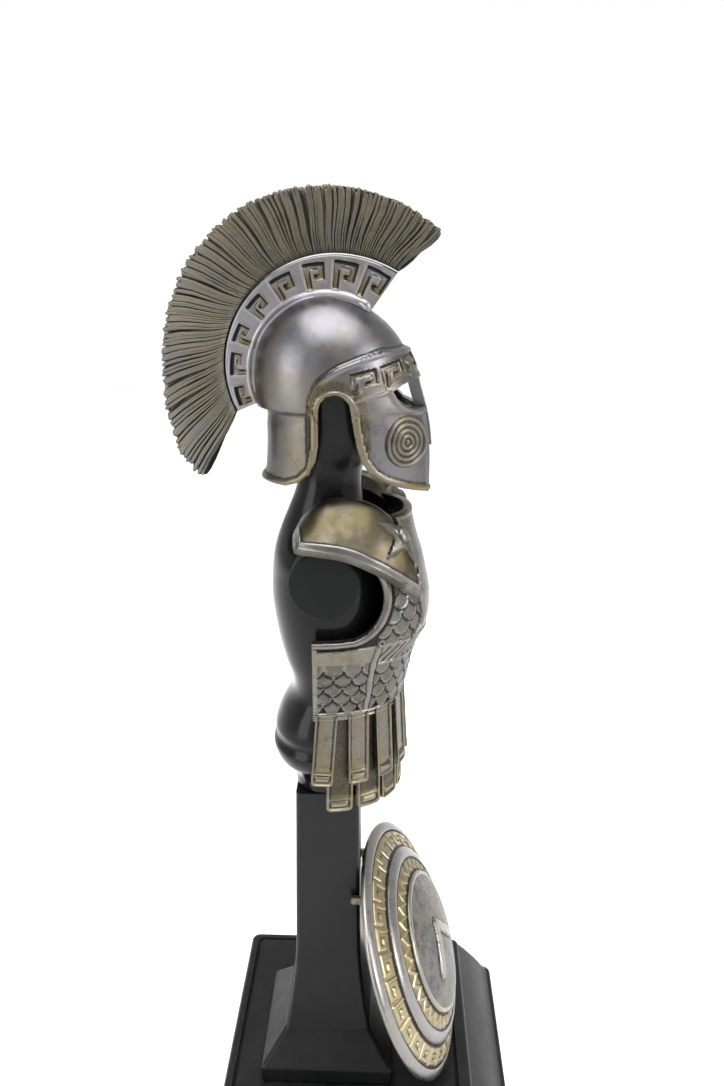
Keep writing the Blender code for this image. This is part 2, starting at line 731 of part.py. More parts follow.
def under_edge_outline():
    """Everything under the helmet's lower edge in side view: neck guard, ear arch and cheek."""
    arch_centre = 0.13
    arch_top = -0.185
    arch = 0.205
    points = [(-2.0, -1.41), (-0.52, -1.41), (-0.33, -1.34), (-0.20, -1.22), (-0.115, -1.05), (-0.08, -0.85)]
    for step in range(0, 7):
        angle = math.radians(180 - 30 * step)
        points.append((arch_centre + arch * math.cos(angle), arch_top - arch + arch * math.sin(angle)))
    points += [(0.365, -0.60), (0.405, -0.82), (0.47, -1.04), (0.58, -1.21), (0.73, -1.33), (1.00, -1.44)]
    points += [(1.42, -1.58), (2.0, -1.58), (2.0, -3.0), (-2.0, -3.0)]
    return points


# Side views in bowl radii from the bowl's centre: the raised face piece, with its visor, cheek and the band
# round the ear arch, then an eye opening
VISOR_OUTLINE = (
    (-0.215, -3.0), (-0.205, -0.50), (-0.18, -0.22), (-0.11, -0.06), (0.03, 0.07), (0.18, 0.16),
    (0.44, 0.26), (0.70, 0.335), (1.05, 0.345), (2.0, 0.345), (2.0, -3.0),
)
EYE_OUTLINE = (
    (0.85, -0.17), (0.98, -0.09), (1.13, -0.04), (1.40, -0.05), (1.40, -0.44), (1.16, -0.42),
    (1.02, -0.38), (0.92, -0.29),
)


def ridge_radius(angle):
    t = (angle - CREST_ROOT_FROM) / (CREST_ROOT_TO - CREST_ROOT_FROM)
    return mix(RIDGE_FRONT_RADIUS, RIDGE_BACK_RADIUS, min(max(t, 0.0), 1.0) ** 0.8)


def polar(angle, radius):
    """The (forward, up) place at an angle and a radius round the bowl's centre."""
    return (radius * math.cos(angle), HELMET_CENTRE + radius * math.sin(angle))


def ridge_outline():
    points = []
    for step in range(25):
        angle = mix(CREST_ROOT_FROM, CREST_ROOT_TO, step / 24)
        points.append(polar(angle, ridge_radius(angle)))
    inner = BOWL_RADIUS - 0.5 * HELMET_WALL
    for step in range(17):
        angle = mix(CREST_ROOT_TO, CREST_ROOT_FROM, step / 16)
        points.append(polar(angle, inner))
    return points


def hook_rings(middle, side):
    """One squared meander hook to sink into a side of the ridge, long leg towards the tail."""
    half_turn = 0.325 * (CREST_ROOT_TO - CREST_ROOT_FROM) / HOOK_COUNT
    top = ridge_radius(middle) - HOOK_MARGIN
    foot = BOWL_RADIUS + HOOK_MARGIN
    short = mix(foot, top, 0.30)
    stroke = HOOK_STROKE / top
    outline = (
        (half_turn, top), (half_turn, foot), (half_turn - stroke, foot),
        (half_turn - stroke, top - HOOK_STROKE), (stroke - half_turn, top - HOOK_STROKE),
        (stroke - half_turn, short), (-half_turn, short), (-half_turn, top),
    )
    rings = []
    for reach in (RIDGE_THICKNESS / 2 - HOOK_DEPTH, RIDGE_THICKNESS):
        rings.append([place(side * reach, *polar(middle + turn, radius)) for turn, radius in outline])
    return rings


def boss_rings(side):
    """Raised rings on a cheek: two steps and a small dome."""
    centre = Vector(
        place(side * 0.300 * BOWL_WIDTH, 0.775 * HELMET_FRONT, HELMET_CENTRE - 0.83 * BOWL_RADIUS)
    )
    normal = Vector((side * 0.80, -0.60, 0.03)).normalized()
    up = Vector((0, 0, 1))
    across = up.cross(normal).normalized()
    up = normal.cross(across)
    profile = (
        (1.0, -1.6), (1.0, 0.6), (0.82, 0.6), (0.74, 0.15),
        (0.62, 0.8), (0.46, 0.8), (0.36, 0.3), (0.24, 1.0),
    )
    rings = []
    for radius, height in profile:
        ring = []
        for i in range(14):
            angle = 2 * math.pi * i / 14
            spread = across * math.cos(angle) + up * math.sin(angle)
            ring.append(centre + spread * radius * BOSS_RADIUS + normal * height * BOSS_LIFT)
        rings.append(ring)
    rings.append([centre + normal * 1.2 * BOSS_LIFT])
    return rings


def across_helmet(name, outline, made, side_from=-BOWL_WIDTH, side_to=BOWL_WIDTH):
    """A cutter from a side view outline in bowl radii, pushed across the helmet."""
    return prism(name, [helmet_place(*point) for point in outline], side_from, side_to, made)


def build_helmet(made):
    shares = (-1.64, -1.42, -1.28, -1.0, -0.70, -0.46, -0.44, -0.12, 0.12, 0.30, 0.50, 0.68, 0.83, 0.94)
    helmet = helmet_solid("helmet", 0.0, HELMET_SIDES, shares, made)
    face = helmet_solid("face_piece_tool", VISOR_LIFT, HELMET_SIDES, shares[:12], made)
    combine(face, across_helmet("visor_outline_tool", VISOR_OUTLINE, made), "INTERSECT")
    combine(helmet, face, "UNION")
    half_ridge = RIDGE_THICKNESS / 2
    combine(helmet, prism("ridge_tool", ridge_outline(), -half_ridge, half_ridge, made), "UNION")
    bosses = bmesh.new()
    hooks = bmesh.new()
    for side in (1, -1):
        add_loft(bosses, boss_rings(side))
        for k in range(HOOK_COUNT):
            middle = mix(CREST_ROOT_FROM, CREST_ROOT_TO, (k + 0.42) / (HOOK_COUNT - 0.16))
            add_loft(hooks, hook_rings(middle, side))
    combine(helmet, finish(bosses, "cheek_boss_tool", made), "UNION")
    combine(helmet, finish(hooks, "ridge_hook_tool", made), "DIFFERENCE")
    hollow_shares = (-1.8, -1.3, -0.8, -0.44, 0.0, 0.30, 0.60, 0.85)
    hollow = helmet_solid("helmet_hollow_tool", -HELMET_WALL, 24, hollow_shares, made)
    combine(helmet, hollow, "DIFFERENCE")
    combine(helmet, across_helmet("under_edge_tool", under_edge_outline(), made), "DIFFERENCE")
    mouth = ((0.9, -0.95), (0.9, -3.0), (2.0, -3.0), (2.0, -0.95))
    mouth_slot = across_helmet("mouth_slot_tool", mouth, made, -CHEEK_GAP / 2, CHEEK_GAP / 2)
    combine(helmet, mouth_slot, "DIFFERENCE")
    beside_nose = ((0.9, -0.22), (0.9, -1.0), (2.0, -1.0), (2.0, -0.22))
    half_nose = NOSE_WIDTH / 2
    for side, word in ((1, "right"), (-1, "left")):
        eye = across_helmet("eye_tool_" + word, EYE_OUTLINE, made, side * half_nose, side * BOWL_WIDTH)
        combine(helmet, eye, "DIFFERENCE")
        slit_end = side * CHEEK_GAP / 2
        slit = across_helmet("nose_slit_tool_" + word, beside_nose, made, side * half_nose, slit_end)
        combine(helmet, slit, "DIFFERENCE")
    return helmet


# Outer radius of the crest from front to tail, as a share of the radius at its front
CREST_STATIONS = (
    (0.00, 1.000),
    (0.37, 1.006),
    (0.57, 0.980),
    (0.76, 0.948),
    (0.89, 0.978),
    (0.95, 0.992),
    (1.00, 0.975),
)


def crest_place(along, out, side, swell):
    """A place in the crest: along from front to tail, out from root to tip."""
    root_angle = mix(CREST_ROOT_FROM, CREST_ROOT_TO, along)
    tip_angle = mix(CREST_TIP_FROM, CREST_TIP_TO, along)
    angle = mix(root_angle, tip_angle, out**1.25)
    root = ridge_radius(root_angle) + GAP
    tip = CREST_RADIUS * smooth(CREST_STATIONS, along)[0]
    half = mix(RIDGE_THICKNESS, CREST_THICKNESS_TIP, out) / 2
    forward, up = polar(angle, mix(root, tip, out))
    return place(side * (half + swell), forward, up)


def build_crest(made):
    rings = []
    columns = 2 * CREST_LOCKS
    for i in range(columns + 1):
        along = i / columns
        groove = CREST_FLUTE if i % 2 else 0.0
        reach = 1.0 - 0.018 * (1 + math.sin(2.4 * i)) - (0.02 if i % 2 else 0.0)
        near = [crest_place(along, out * reach, 1, -groove * (0.4 + 0.6 * out)) for out in (0.0, 0.5, 1.0)]
        far = [crest_place(along, out * reach, -1, -groove * (0.4 + 0.6 * out)) for out in (1.0, 0.5, 0.0)]
        rings.append(near + far)
    return lofted("crest_plume", rings, made, 20.0)


def shield_frame():
    """Turns the shield's own frame, dome towards +Z, to where it leans on the post."""
    lean = Matrix.Rotation(math.pi / 2 - SHIELD_LEAN, 4, "X")
    turn = Matrix.Rotation(-SHIELD_TURN, 4, "Z")
    half_lean = SHIELD_RADIUS * math.sin(SHIELD_LEAN)
    forward = post_half(SHIELD_TOP) + SHIELD_STANDOFF + half_lean
    return Matrix.Translation(place(0.0, forward, (SHIELD_TOP + 2 * GAP) / 2)) @ turn @ lean


def shield_height(share):
    """Height of the shield's front over its rim plane, at a share of the radius, with its raised middle."""
    disc = SHIELD_DISC_SHARE
    centre_rise = SHIELD_CENTRE_RISE * (1 - min(share / disc, 1.0) ** 2)
    return SHIELD_DOME * (1 - max(share, disc) ** SHIELD_FULLNESS) + centre_rise


def shield_ring(frame, radius, height):
    """A ring of the shield in place, or its centre point where the radius is nothing."""
    if radius == 0.0:
        return [frame @ Vector((0.0, 0.0, height))]
    turns = [2 * math.pi * i / SHIELD_SIDES for i in range(SHIELD_SIDES)]
    return [frame @ Vector((radius * math.cos(a), radius * math.sin(a), height)) for a in turns]


def add_clip(bm, frame, side):
    """One arm from inside the shield's wall back to beside the post."""
    inner = post_half(CLIP_UP) + CLIP_CLEARANCE
    middle = side * (inner + CLIP_WIDTH / 2)
    rear = post_half(CLIP_UP) - CLIP_GRIP
    into_shield = frame.inverted()
    front = rear
    depth = 0.0
    while depth < SHIELD_WALL / 2:
        front += 0.1 * SHIELD_WALL
        local = into_shield @ place(middle, front, CLIP_UP)
        share = math.hypot(local.x, local.y) / SHIELD_RADIUS
        depth = local.z - (shield_height(share) - SHIELD_WALL)
    rings = []
    for forward in (rear, front):
        corners = (
            (inner, -CLIP_HEIGHT), (inner + CLIP_WIDTH, -CLIP_HEIGHT),
            (inner + CLIP_WIDTH, CLIP_HEIGHT), (inner, CLIP_HEIGHT),
        )
        rings.append([place(side * s, forward, CLIP_UP + rise / 2) for s, rise in corners])
    add_loft(bm, rings)


def chevron_rings(frame):
    """A plain raised chevron on the shield's middle disc, point up."""
    half = CHEVRON_WIDTH / 2
    rise = 0.6 * CHEVRON_WIDTH
    outline = (
        (-half, -rise / 2), (0.0, rise / 2), (half, -rise / 2),
        (half, -rise / 2 - CHEVRON_BAR), (0.0, rise / 2 - CHEVRON_BAR), (-half, -rise / 2 - CHEVRON_BAR),
    )
    low = shield_height(SHIELD_DISC_SHARE) - SHIELD_WALL / 4
    high = shield_height(0.0) + SHIELD_STEP + CHEVRON_LIFT
    middle = CHEVRON_BAR / 2
    return [[frame @ Vector((x, y + middle, height)) for x, y in outline] for height in (low, high)]


def build_shield(made):
    # Front from the centre out, stepped at each ring: share of the radius, then lift in steps
    front = (
        (0.0, 1), (0.300, 1), (0.550, 1), (0.565, -1), (0.670, -1), (0.685, 1), (0.770, 1),
        (0.785, -1), (0.915, -1), (0.930, 1), (0.995, 1), (1.000, -1),
    )
    frame = shield_frame()
    rings = [(share * SHIELD_RADIUS, shield_height(share) + lift * SHIELD_STEP) for share, lift in front]
    lip = 1.0 - SHIELD_RIM / SHIELD_RADIUS
    rings.append((0.5 * (1.0 + lip) * SHIELD_RADIUS, -0.5 * SHIELD_WALL - SHIELD_STEP))
    for share in (lip, 0.80, 0.55, 0.25, 0.0):
        rings.append((share * SHIELD_RADIUS, shield_height(share) - SHIELD_WALL))
    bm = bmesh.new()
    add_loft(bm, [shield_ring(frame, radius, height) for radius, height in rings])
    shield = finish(bm, "shield", made, 30.0)
    chevron = bmesh.new()
    add_loft(chevron, chevron_rings(frame))
    combine(shield, finish(chevron, "chevron_tool", made), "UNION")
    clips = bmesh.new()
    for side in (1, -1):
        add_clip(clips, frame, side)
    combine(shield, finish(clips, "clip_tool", made), "UNION")
    return shield


def build_peg(made):
    up = SHIELD_TOP - PEG_BELOW_RIM
    start = post_half(up) + GAP
    end = post_half(SHIELD_TOP) + SHIELD_STANDOFF + PEG_BELOW_RIM * math.tan(SHIELD_LEAN) - 3 * GAP
    plan = oval(PEG_RADIUS, PEG_RADIUS, PEG_RADIUS, 16)
    rings = [[place(x, forward, up + y) for x, y in plan] for forward in (start, end)]
    return lofted("shield_peg", rings, made)


def main():
    for obj in list(bpy.data.objects):
        bpy.data.objects.remove(obj, do_unlink=True)
    build_base(material("base_satin_black", (0.012, 0.012, 0.013), 0.32, 0.0))
    build_post(material("post_satin_black", (0.014, 0.014, 0.015), 0.36, 0.0))
    build_torso(material("torso_gloss_black", (0.008, 0.008, 0.009), 0.16, 0.0))
    build_cuirass(material("cuirass_antique_metal", (0.52, 0.46, 0.34), 0.36, 1.0))
    build_helmet(material("helmet_pewter", (0.50, 0.48, 0.48), 0.28, 1.0))
    build_crest(material("crest_antique_bronze", (0.30, 0.27, 0.20), 0.45, 1.0))
    build_shield(material("shield_silver_gold", (0.55, 0.52, 0.44), 0.30, 1.0))
    build_peg(material("peg_black", (0.015, 0.015, 0.016), 0.4, 0.0))


main()
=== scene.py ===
"""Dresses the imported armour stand: antique metal helmet, cuirass and shield on black mouldings.

Metres, +Z up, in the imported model's frame. A place on the figure is (side, forward, up): side towards +X,
forward towards -Y from the post's axis, and up from the base's top face.
"""

import math

import bmesh
import bpy
import numpy as np
from mathutils import Matrix, Vector
from mathutils.kdtree import KDTree


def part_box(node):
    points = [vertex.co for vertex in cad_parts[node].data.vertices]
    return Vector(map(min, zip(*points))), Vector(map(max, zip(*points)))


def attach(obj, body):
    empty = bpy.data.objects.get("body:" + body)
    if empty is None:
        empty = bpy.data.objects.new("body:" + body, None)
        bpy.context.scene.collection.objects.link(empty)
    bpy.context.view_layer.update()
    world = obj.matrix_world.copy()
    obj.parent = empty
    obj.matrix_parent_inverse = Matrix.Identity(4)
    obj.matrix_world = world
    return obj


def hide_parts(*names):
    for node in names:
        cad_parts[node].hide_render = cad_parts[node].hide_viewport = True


bl_info = {
    "name": "Hoplite armour stand",
    "version": (1, 0, 0),
    "blender": (4, 5, 0),
    "location": "View3D > Sidebar > Armour",
    "description": "Builds a miniature helmet, cuirass and round shield on a black display stand",
    "category": "Object",
}

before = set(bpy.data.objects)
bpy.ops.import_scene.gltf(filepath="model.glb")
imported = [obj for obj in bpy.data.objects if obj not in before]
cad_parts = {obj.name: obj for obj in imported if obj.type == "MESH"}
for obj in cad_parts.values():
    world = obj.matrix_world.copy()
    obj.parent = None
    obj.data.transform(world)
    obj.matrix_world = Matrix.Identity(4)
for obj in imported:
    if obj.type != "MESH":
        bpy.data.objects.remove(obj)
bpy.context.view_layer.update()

MM = 0.001
GAP = 0.0003

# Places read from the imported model
BASE_LOW, BASE_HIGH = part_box("base")
POST_LOW, POST_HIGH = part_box("post")
TORSO_LOW, TORSO_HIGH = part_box("torso_form")
BASE_TOP = BASE_HIGH[2]
BASE_HALF = BASE_HIGH[0]
POST_SET_BACK = (POST_LOW[1] + POST_HIGH[1]) / 2
POST_HEIGHT = POST_HIGH[2] - BASE_TOP
TORSO_FOOT = TORSO_LOW[2] - BASE_TOP
TORSO_HEIGHT = TORSO_HIGH[2] - TORSO_LOW[2]
HEAD_TOP = TORSO_FOOT + TORSO_HEIGHT
ARM_REACH = TORSO_HIGH[0]

# Base
BASE_CORNER = 0.0020
BASE_ROUND = 0.0012
RIM_WIDTH = 0.0022
GROOVE_WIDTH = 0.0009
GROOVE_DEPTH = 0.0007
SLOPE_RUN = 0.0100
SLOPE_DROP = 0.0105
LEDGE_WIDTH = 0.0014

# Post
POST_WIDTH_TOP = 0.0152
POST_WIDTH_LOW = 0.0166
POST_CHAMFER = 0.0010
PLINTH_WIDTH = 0.0332
PLINTH_HEIGHT = 0.0045
PLINTH_SLOPE_HEIGHT = 0.0075
FOOT_WIDTH = 0.0214
FLARE_HEIGHT = 0.0240

# Torso
TORSO_DEPTH = 0.0260
TORSO_WIDTH = 0.0356
ARM_RADIUS = 0.0074
ARM_FORWARD = 0.0003
ARM_UP = TORSO_FOOT + 0.509 * TORSO_HEIGHT

# Cuirass
CUIRASS_WALL = 0.0013
CUIRASS_DEPTH = 0.0240
CUIRASS_BACK = 0.0024
CUIRASS_HEIGHT = 0.0430
CUIRASS_WIDTH = TORSO_WIDTH + 2 * (0.0005 + CUIRASS_WALL)
CUIRASS_TOP = TORSO_FOOT + 0.62 * TORSO_HEIGHT - 0.0006
CUIRASS_HEM = CUIRASS_TOP - CUIRASS_HEIGHT
HALF_GIRTH = 31.4 * MM
STRIP_COUNT = 9
STRIP_PITCH = 2.0 / (STRIP_COUNT - 1 + 0.73)
STRIP_FLARE = 0.0011
STRIP_SPREAD = 0.0018
STRIP_BEND = 0.017
UNDER_STRIP_LENGTH = 0.0240
GUARD_NECK = 0.222 * TORSO_WIDTH + 0.0025
GUARD_REACH = ARM_REACH + 0.0026
GUARD_THICKNESS = 0.0016
STAR_RADIUS = 0.0062

# Helmet
HELMET_WALL = 0.0015
BOWL_RADIUS = 0.375 * TORSO_DEPTH + 0.00475 + HELMET_WALL
BOWL_WIDTH = 2 * (0.281 * TORSO_WIDTH + 0.0023 + HELMET_WALL)
HELMET_FRONT = 0.49 * TORSO_DEPTH + 0.00756 + HELMET_WALL
HELMET_CENTRE = HEAD_TOP + GAP + HELMET_WALL - BOWL_RADIUS
CHEEK_GAP = 0.0056
NOSE_WIDTH = 0.0030
BOSS_RADIUS = 0.0055
VISOR_LIFT = 0.0009
RIDGE_THICKNESS = 0.0052
RIDGE_FRONT_RADIUS = BOWL_RADIUS + 0.0088
RIDGE_BACK_RADIUS = BOWL_RADIUS + 0.0050
CREST_RADIUS = RIDGE_FRONT_RADIUS + 0.0119
CREST_THICKNESS_TIP = 0.0074
CREST_ROOT = (math.radians(54.7), math.radians(203.4))
CREST_TIP = (math.radians(50.9), math.radians(220.5))
# Degrees where each hook on the ridge starts and ends
RIDGE_HOOKS = (
    (56, 68.7), (73.4, 85.9), (91.5, 103.2), (110.7, 123),
    (131.3, 142), (151.5, 162), (168.7, 182), (189.5, 201),
)

# Shield
SHIELD_RADIUS = 0.0312
SHIELD_DOME = 0.0112
SHIELD_DISC_SHARE = 0.555
SHIELD_FULLNESS = 1.35
SHIELD_CENTRE_RISE = 0.0024
SHIELD_WALL = 0.0013
SHIELD_LEAN = math.radians(21.5)
SHIELD_TURN = math.radians(8.0)
SHIELD_STANDOFF = 0.0016
SHIELD_TOP = 2 * GAP + 2 * SHIELD_RADIUS * math.cos(SHIELD_LEAN)

# Share of the height, then back, front and half width as shares of the torso's depth and width
TORSO_STATIONS = (
    (0.000, 0.30, 0.30, 0.219), (0.030, 0.32, 0.32, 0.242), (0.055, 0.37, 0.37, 0.310),
    (0.078, 0.46, 0.46, 0.393), (0.110, 0.505, 0.50, 0.433), (0.128, 0.47, 0.475, 0.410),
    (0.148, 0.485, 0.49, 0.421), (0.185, 0.43, 0.48, 0.396), (0.230, 0.325, 0.455, 0.362),
    (0.262, 0.325, 0.46, 0.368), (0.310, 0.39, 0.49, 0.410), (0.365, 0.445, 0.52, 0.455),
    (0.435, 0.485, 0.54, 0.494), (0.490, 0.480, 0.525, 0.500), (0.535, 0.455, 0.48, 0.489),
    (0.575, 0.40, 0.41, 0.300), (0.612, 0.335, 0.32, 0.222), (0.650, 0.275, 0.285, 0.206),
    (0.690, 0.245, 0.290, 0.198), (0.725, 0.265, 0.37, 0.216), (0.775, 0.325, 0.47, 0.256),
    (0.830, 0.365, 0.49, 0.278), (0.885, 0.375, 0.45, 0.281), (0.935, 0.330, 0.365, 0.253),
    (0.975, 0.215, 0.225, 0.166), (0.994, 0.110, 0.115, 0.085), (1.0, 0.001, 0.001, 0.001),
)
# Share of the height from hem to collar, then front reach and half width as shares
CUIRASS_STATIONS = (
    (-0.60, 0.790, 0.455), (-0.30, 0.800, 0.460), (0.00, 0.800, 0.452), (0.09, 0.845, 0.458),
    (0.20, 0.885, 0.468), (0.285, 0.930, 0.476), (0.34, 0.985, 0.484), (0.40, 1.025, 0.492),
    (0.48, 1.045, 0.505), (0.57, 1.038, 0.512), (0.65, 1.010, 0.510), (0.75, 0.970, 0.498),
    (0.84, 0.918, 0.475), (0.94, 0.872, 0.425), (1.00, 0.850, 0.380),
)
# Turn and share of the height along the cord round the breast panel
CHEST_BAND = (
    (0.46, 0.735), (0.40, 0.70), (0.32, 0.665), (0.27, 0.60), (0.247, 0.50), (0.27, 0.43), (0.33, 0.388),
)
# Heights over the hem of the scales' feet, top row first
FINE_ROWS = (0.0094, 0.0071, 0.0049, 0.0026, 0.0004)
WIDE_ROWS = (0.030, 0.027, 0.024, 0.021, 0.018, 0.015, 0.012, 0.0090, 0.0061, 0.0032, 0.0003)
# Along a shoulder guard: forward and up of its crown, of its outer edge, and that edge's reach, as shares
GUARD_STATIONS = (
    (0.00, -0.254, -0.081, -0.229, -0.110, 0.90), (0.12, -0.178, 0.042, -0.195, -0.140, 0.97),
    (0.30, 0.017, 0.169, -0.034, -0.153, 1.00), (0.50, 0.271, 0.169, 0.220, -0.195, 1.00),
    (0.68, 0.500, 0.076, 0.458, -0.305, 0.97), (0.84, 0.720, -0.144, 0.669, -0.458, 0.87),
    (1.00, 0.847, -0.475, 0.864, -0.627, 0.72),
)
# Height from the helmet's centre in bowl radii, then back, front and half width as shares
HELMET_STATIONS = (
    (-1.62, 0.885, 1.000, 0.440), (-1.42, 0.900, 1.000, 0.450), (-1.28, 0.850, 0.998, 0.458),
    (-1.00, 0.825, 0.990, 0.468), (-0.70, 0.820, 0.965, 0.476), (-0.46, 0.830, 0.930, 0.480),
    (-0.44, 0.945, 0.925, 0.492), (-0.12, 0.990, 0.855, 0.500), (0.12, 0.985, 0.815, 0.498),
    (0.30, 0.955, 0.745, 0.480),
)
CREST_STATIONS = (
    (0.00, 1.000), (0.37, 1.006), (0.57, 0.980), (0.76, 0.948), (0.89, 0.978), (0.95, 0.992), (1.00, 0.975),
)
# Side views of the helmet in bowl radii from the bowl's centre
UNDER_EDGE = (
    (-2.0, -1.41), (-0.52, -1.41), (-0.33, -1.34), (-0.20, -1.22), (-0.115, -1.05), (-0.08, -0.85),
    (-0.075, -0.39), (-0.0475, -0.2875), (0.0275, -0.2125), (0.13, -0.185), (0.2325, -0.2125),
    (0.3075, -0.2875), (0.335, -0.39), (0.365, -0.60), (0.405, -0.82), (0.47, -1.04), (0.58, -1.21),
    (0.73, -1.33), (1.00, -1.44), (1.42, -1.58), (2.0, -1.58), (2.0, -3.0), (-2.0, -3.0),
)
VISOR_OUTLINE = (
    (-0.215, -3.0), (-0.205, -0.50), (-0.18, -0.22), (-0.11, -0.06), (0.03, 0.07), (0.18, 0.16),
    (0.44, 0.26), (0.70, 0.335), (1.05, 0.345), (2.0, 0.345), (2.0, -3.0),
)
EYE_OUTLINE = (
    (0.85, -0.17), (0.98, -0.09), (1.13, -0.04), (1.40, -0.05), (1.40, -0.44), (1.16, -0.42),
    (1.02, -0.38), (0.92, -0.29),
)
# Lower and upper edge of the brow band, as forward and up
BROW_LOW = ((0.0068, 0.1743), (0.0115, 0.1753), (0.0129, 0.1760), (0.0157, 0.1771), (0.0174, 0.1778))
BROW_HIGH = ((0.0052, 0.1787), (0.0103, 0.1798), (0.0148, 0.1812), (0.0165, 0.1820))

# Camera, fitted to the photograph
CAMERA_PLACE = (-0.195461, -0.001876, 0.218227)
CAMERA_LENS = 30.29
CAMERA_DOWN = 0.3112
CAMERA_SWING = 0.02548
CAMERA_ROLL = -0.0084


class ARMOUR_PG_sizes(bpy.types.PropertyGroup):
    """Sizes of the repeated detail."""

    lock_count: bpy.props.IntProperty(
        name="Hair locks", description="Locks of hair along one row of the crest", default=156, min=20
    )
    lock_width: bpy.props.FloatProperty(
        name="Lock width",
        description="Width of one lock of hair",
        default=0.95 * MM,
        unit="LENGTH",
    )
    strip_length: bpy.props.FloatProperty(
        name="Strip length",
        description="Length of the upper hanging strips",
        default=16.5 * MM,
        unit="LENGTH",
    )
    meander_count: bpy.props.IntProperty(
        name="Shield hooks", description="Hooks of the meander round the shield", default=30, min=8
    )
    relief_depth: bpy.props.FloatProperty(
        name="Relief",
        description="Height of the cast relief on the armour",
        default=0.55 * MM,
        unit="LENGTH",
    )


class ARMOUR_PG_colours(bpy.types.PropertyGroup):
    """Colours of the finishes."""

    silver: bpy.props.FloatVectorProperty(
        name="Silver",
        description="Worn silver of rims",
        subtype="COLOR",
        size=3,
        default=(0.135, 0.130, 0.126),
    )
    brass: bpy.props.FloatVectorProperty(
        name="Brass",
        description="Satin antique brass",
        subtype="COLOR",
        size=3,
        default=(0.125, 0.104, 0.060),
    )
    pewter: bpy.props.FloatVectorProperty(
        name="Pewter",
        description="Helmet bowl",
        subtype="COLOR",
        size=3,
        default=(0.112, 0.110, 0.117),
    )
    bronze: bpy.props.FloatVectorProperty(
        name="Bronze",
        description="Crest of hair",
        subtype="COLOR",
        size=3,
        default=(0.138, 0.122, 0.085),
    )
    # Dark patina of the recesses, also the colour of the painted shade in the relief
    patina_and_shade: bpy.props.FloatVectorProperty(
        name="Patina",
        description="Dark recesses",
        subtype="COLOR",
        size=3,
        default=(0.008, 0.0078, 0.007),
    )
    black: bpy.props.FloatVectorProperty(
        name="Black",
        description="Moulded stand",
        subtype="COLOR",
        size=3,
        default=(0.0036, 0.0038, 0.0040),
    )


def places(side, forward, up):
    """World points of places given from the post's axis and the base's top face."""
    side, forward, up = np.broadcast_arrays(side, forward, up)
    return np.stack([side, POST_SET_BACK - forward, BASE_TOP + up], axis=-1)


def read_curve(stations, t):
    """Values at t of a smooth curve through (t, value, ...) stations, one array for each value."""
    table = np.array(stations)
    at = table[:, 0]
    values = table[:, 1:]
    count = np.arange(len(at))
    before = np.maximum(count - 1, 0)
    after = np.minimum(count + 1, len(at) - 1)
    slopes = (values[after] - values[before]) / (at[after] - at[before])[:, None]
    t = np.clip(t, at[0], at[-1])
    k = np.clip(np.searchsorted(at, t, side="right") - 1, 0, len(at) - 2)
    span = (at[k + 1] - at[k])[..., None]
    s = (t - at[k])[..., None] / span
    found = (
        values[k] * (1 + 2 * s) * (1 - s) ** 2
        + slopes[k] * span * s * (1 - s) ** 2
        + values[k + 1] * s * s * (3 - 2 * s)
        + slopes[k + 1] * span * s * s * (s - 1)
    )
    return np.moveaxis(found, -1, 0)


def ramp(value, low, high):
    """Soft step from 0 at low to 1 at high."""
    t = np.clip((value - low) / (high - low), 0.0, 1.0)
    return t * t * (3 - 2 * t)


def soft_band(value, low, low_full, high_full, high):
    """Soft band: 1 between its full edges, 0 outside its ends."""
    return ramp(value, low, low_full) * (1 - ramp(value, high_full, high))


def toward(value, goal, share):
    """Moves a value to a goal by a share."""
    return value + (goal - value) * share


def bead(distance, half_width):
    """Round bead cross section: 1 on its line, 0 past its half width."""
    return np.sqrt(np.clip(1 - (distance / half_width) ** 2, 0.0, 1.0))


def distance_to_path(x, y, path):
    """Distance of points to a line through the path's points."""
    nearest = np.full(np.shape(x), 1e9)
    for (ax, ay), (bx, by) in zip(path, path[1:]):
        dx = bx - ax
        dy = by - ay
        along = np.clip(((x - ax) * dx + (y - ay) * dy) / (dx * dx + dy * dy), 0.0, 1.0)
        nearest = np.minimum(nearest, np.hypot(x - ax - along * dx, y - ay - along * dy))
    return nearest


def inside(x, y, outline):
    """Whether points are in a closed outline."""
    found = np.zeros(np.shape(x), bool)
    for (ax, ay), (bx, by) in zip(outline, (*outline[1:], outline[0])):
        if ay == by:
            continue
        crosses = (ay > y) != (by > y)
        found ^= crosses & (x < ax + (y - ay) * (bx - ax) / (by - ay))
    return found


def edge_distance(x, y, outline):
    """Distance to a closed outline, positive inside it."""
    far = distance_to_path(x, y, (*outline, outline[0]))
    return np.where(inside(x, y, outline), far, -far)


def box_distance(x, y, low, high):
    """Distance to a box given by two corners, negative inside it."""
    dx = np.abs(x - (low[0] + high[0]) / 2) - (high[0] - low[0]) / 2
    dy = np.abs(y - (low[1] + high[1]) / 2) - (high[1] - low[1]) / 2
    return np.hypot(np.maximum(dx, 0), np.maximum(dy, 0)) + np.minimum(np.maximum(dx, dy), 0)


def hook_distance(x, y, width, height, stroke):
    """Distance to one squared meander hook in a box of that width and height, negative inside it."""
    curl = 0.34 * height
    parts = (
        ((0, 0), (stroke, height)),
        ((0, height - stroke), (width, height)),
        ((width - stroke, curl), (width, height)),
        ((0.48 * width, curl), (width, curl + 0.8 * stroke)),
    )
    return np.min([box_distance(x, y, low, high) for low, high in parts], axis=0)


def grid_faces(rows, columns, wrap, start=0):
    grid = start + np.arange(rows * columns).reshape(rows, columns)
    if wrap:
        grid = np.hstack([grid, grid[:, :1]])
    return np.stack([grid[:-1, :-1], grid[:-1, 1:], grid[1:, 1:], grid[1:, :-1]], -1).reshape(-1, 4)


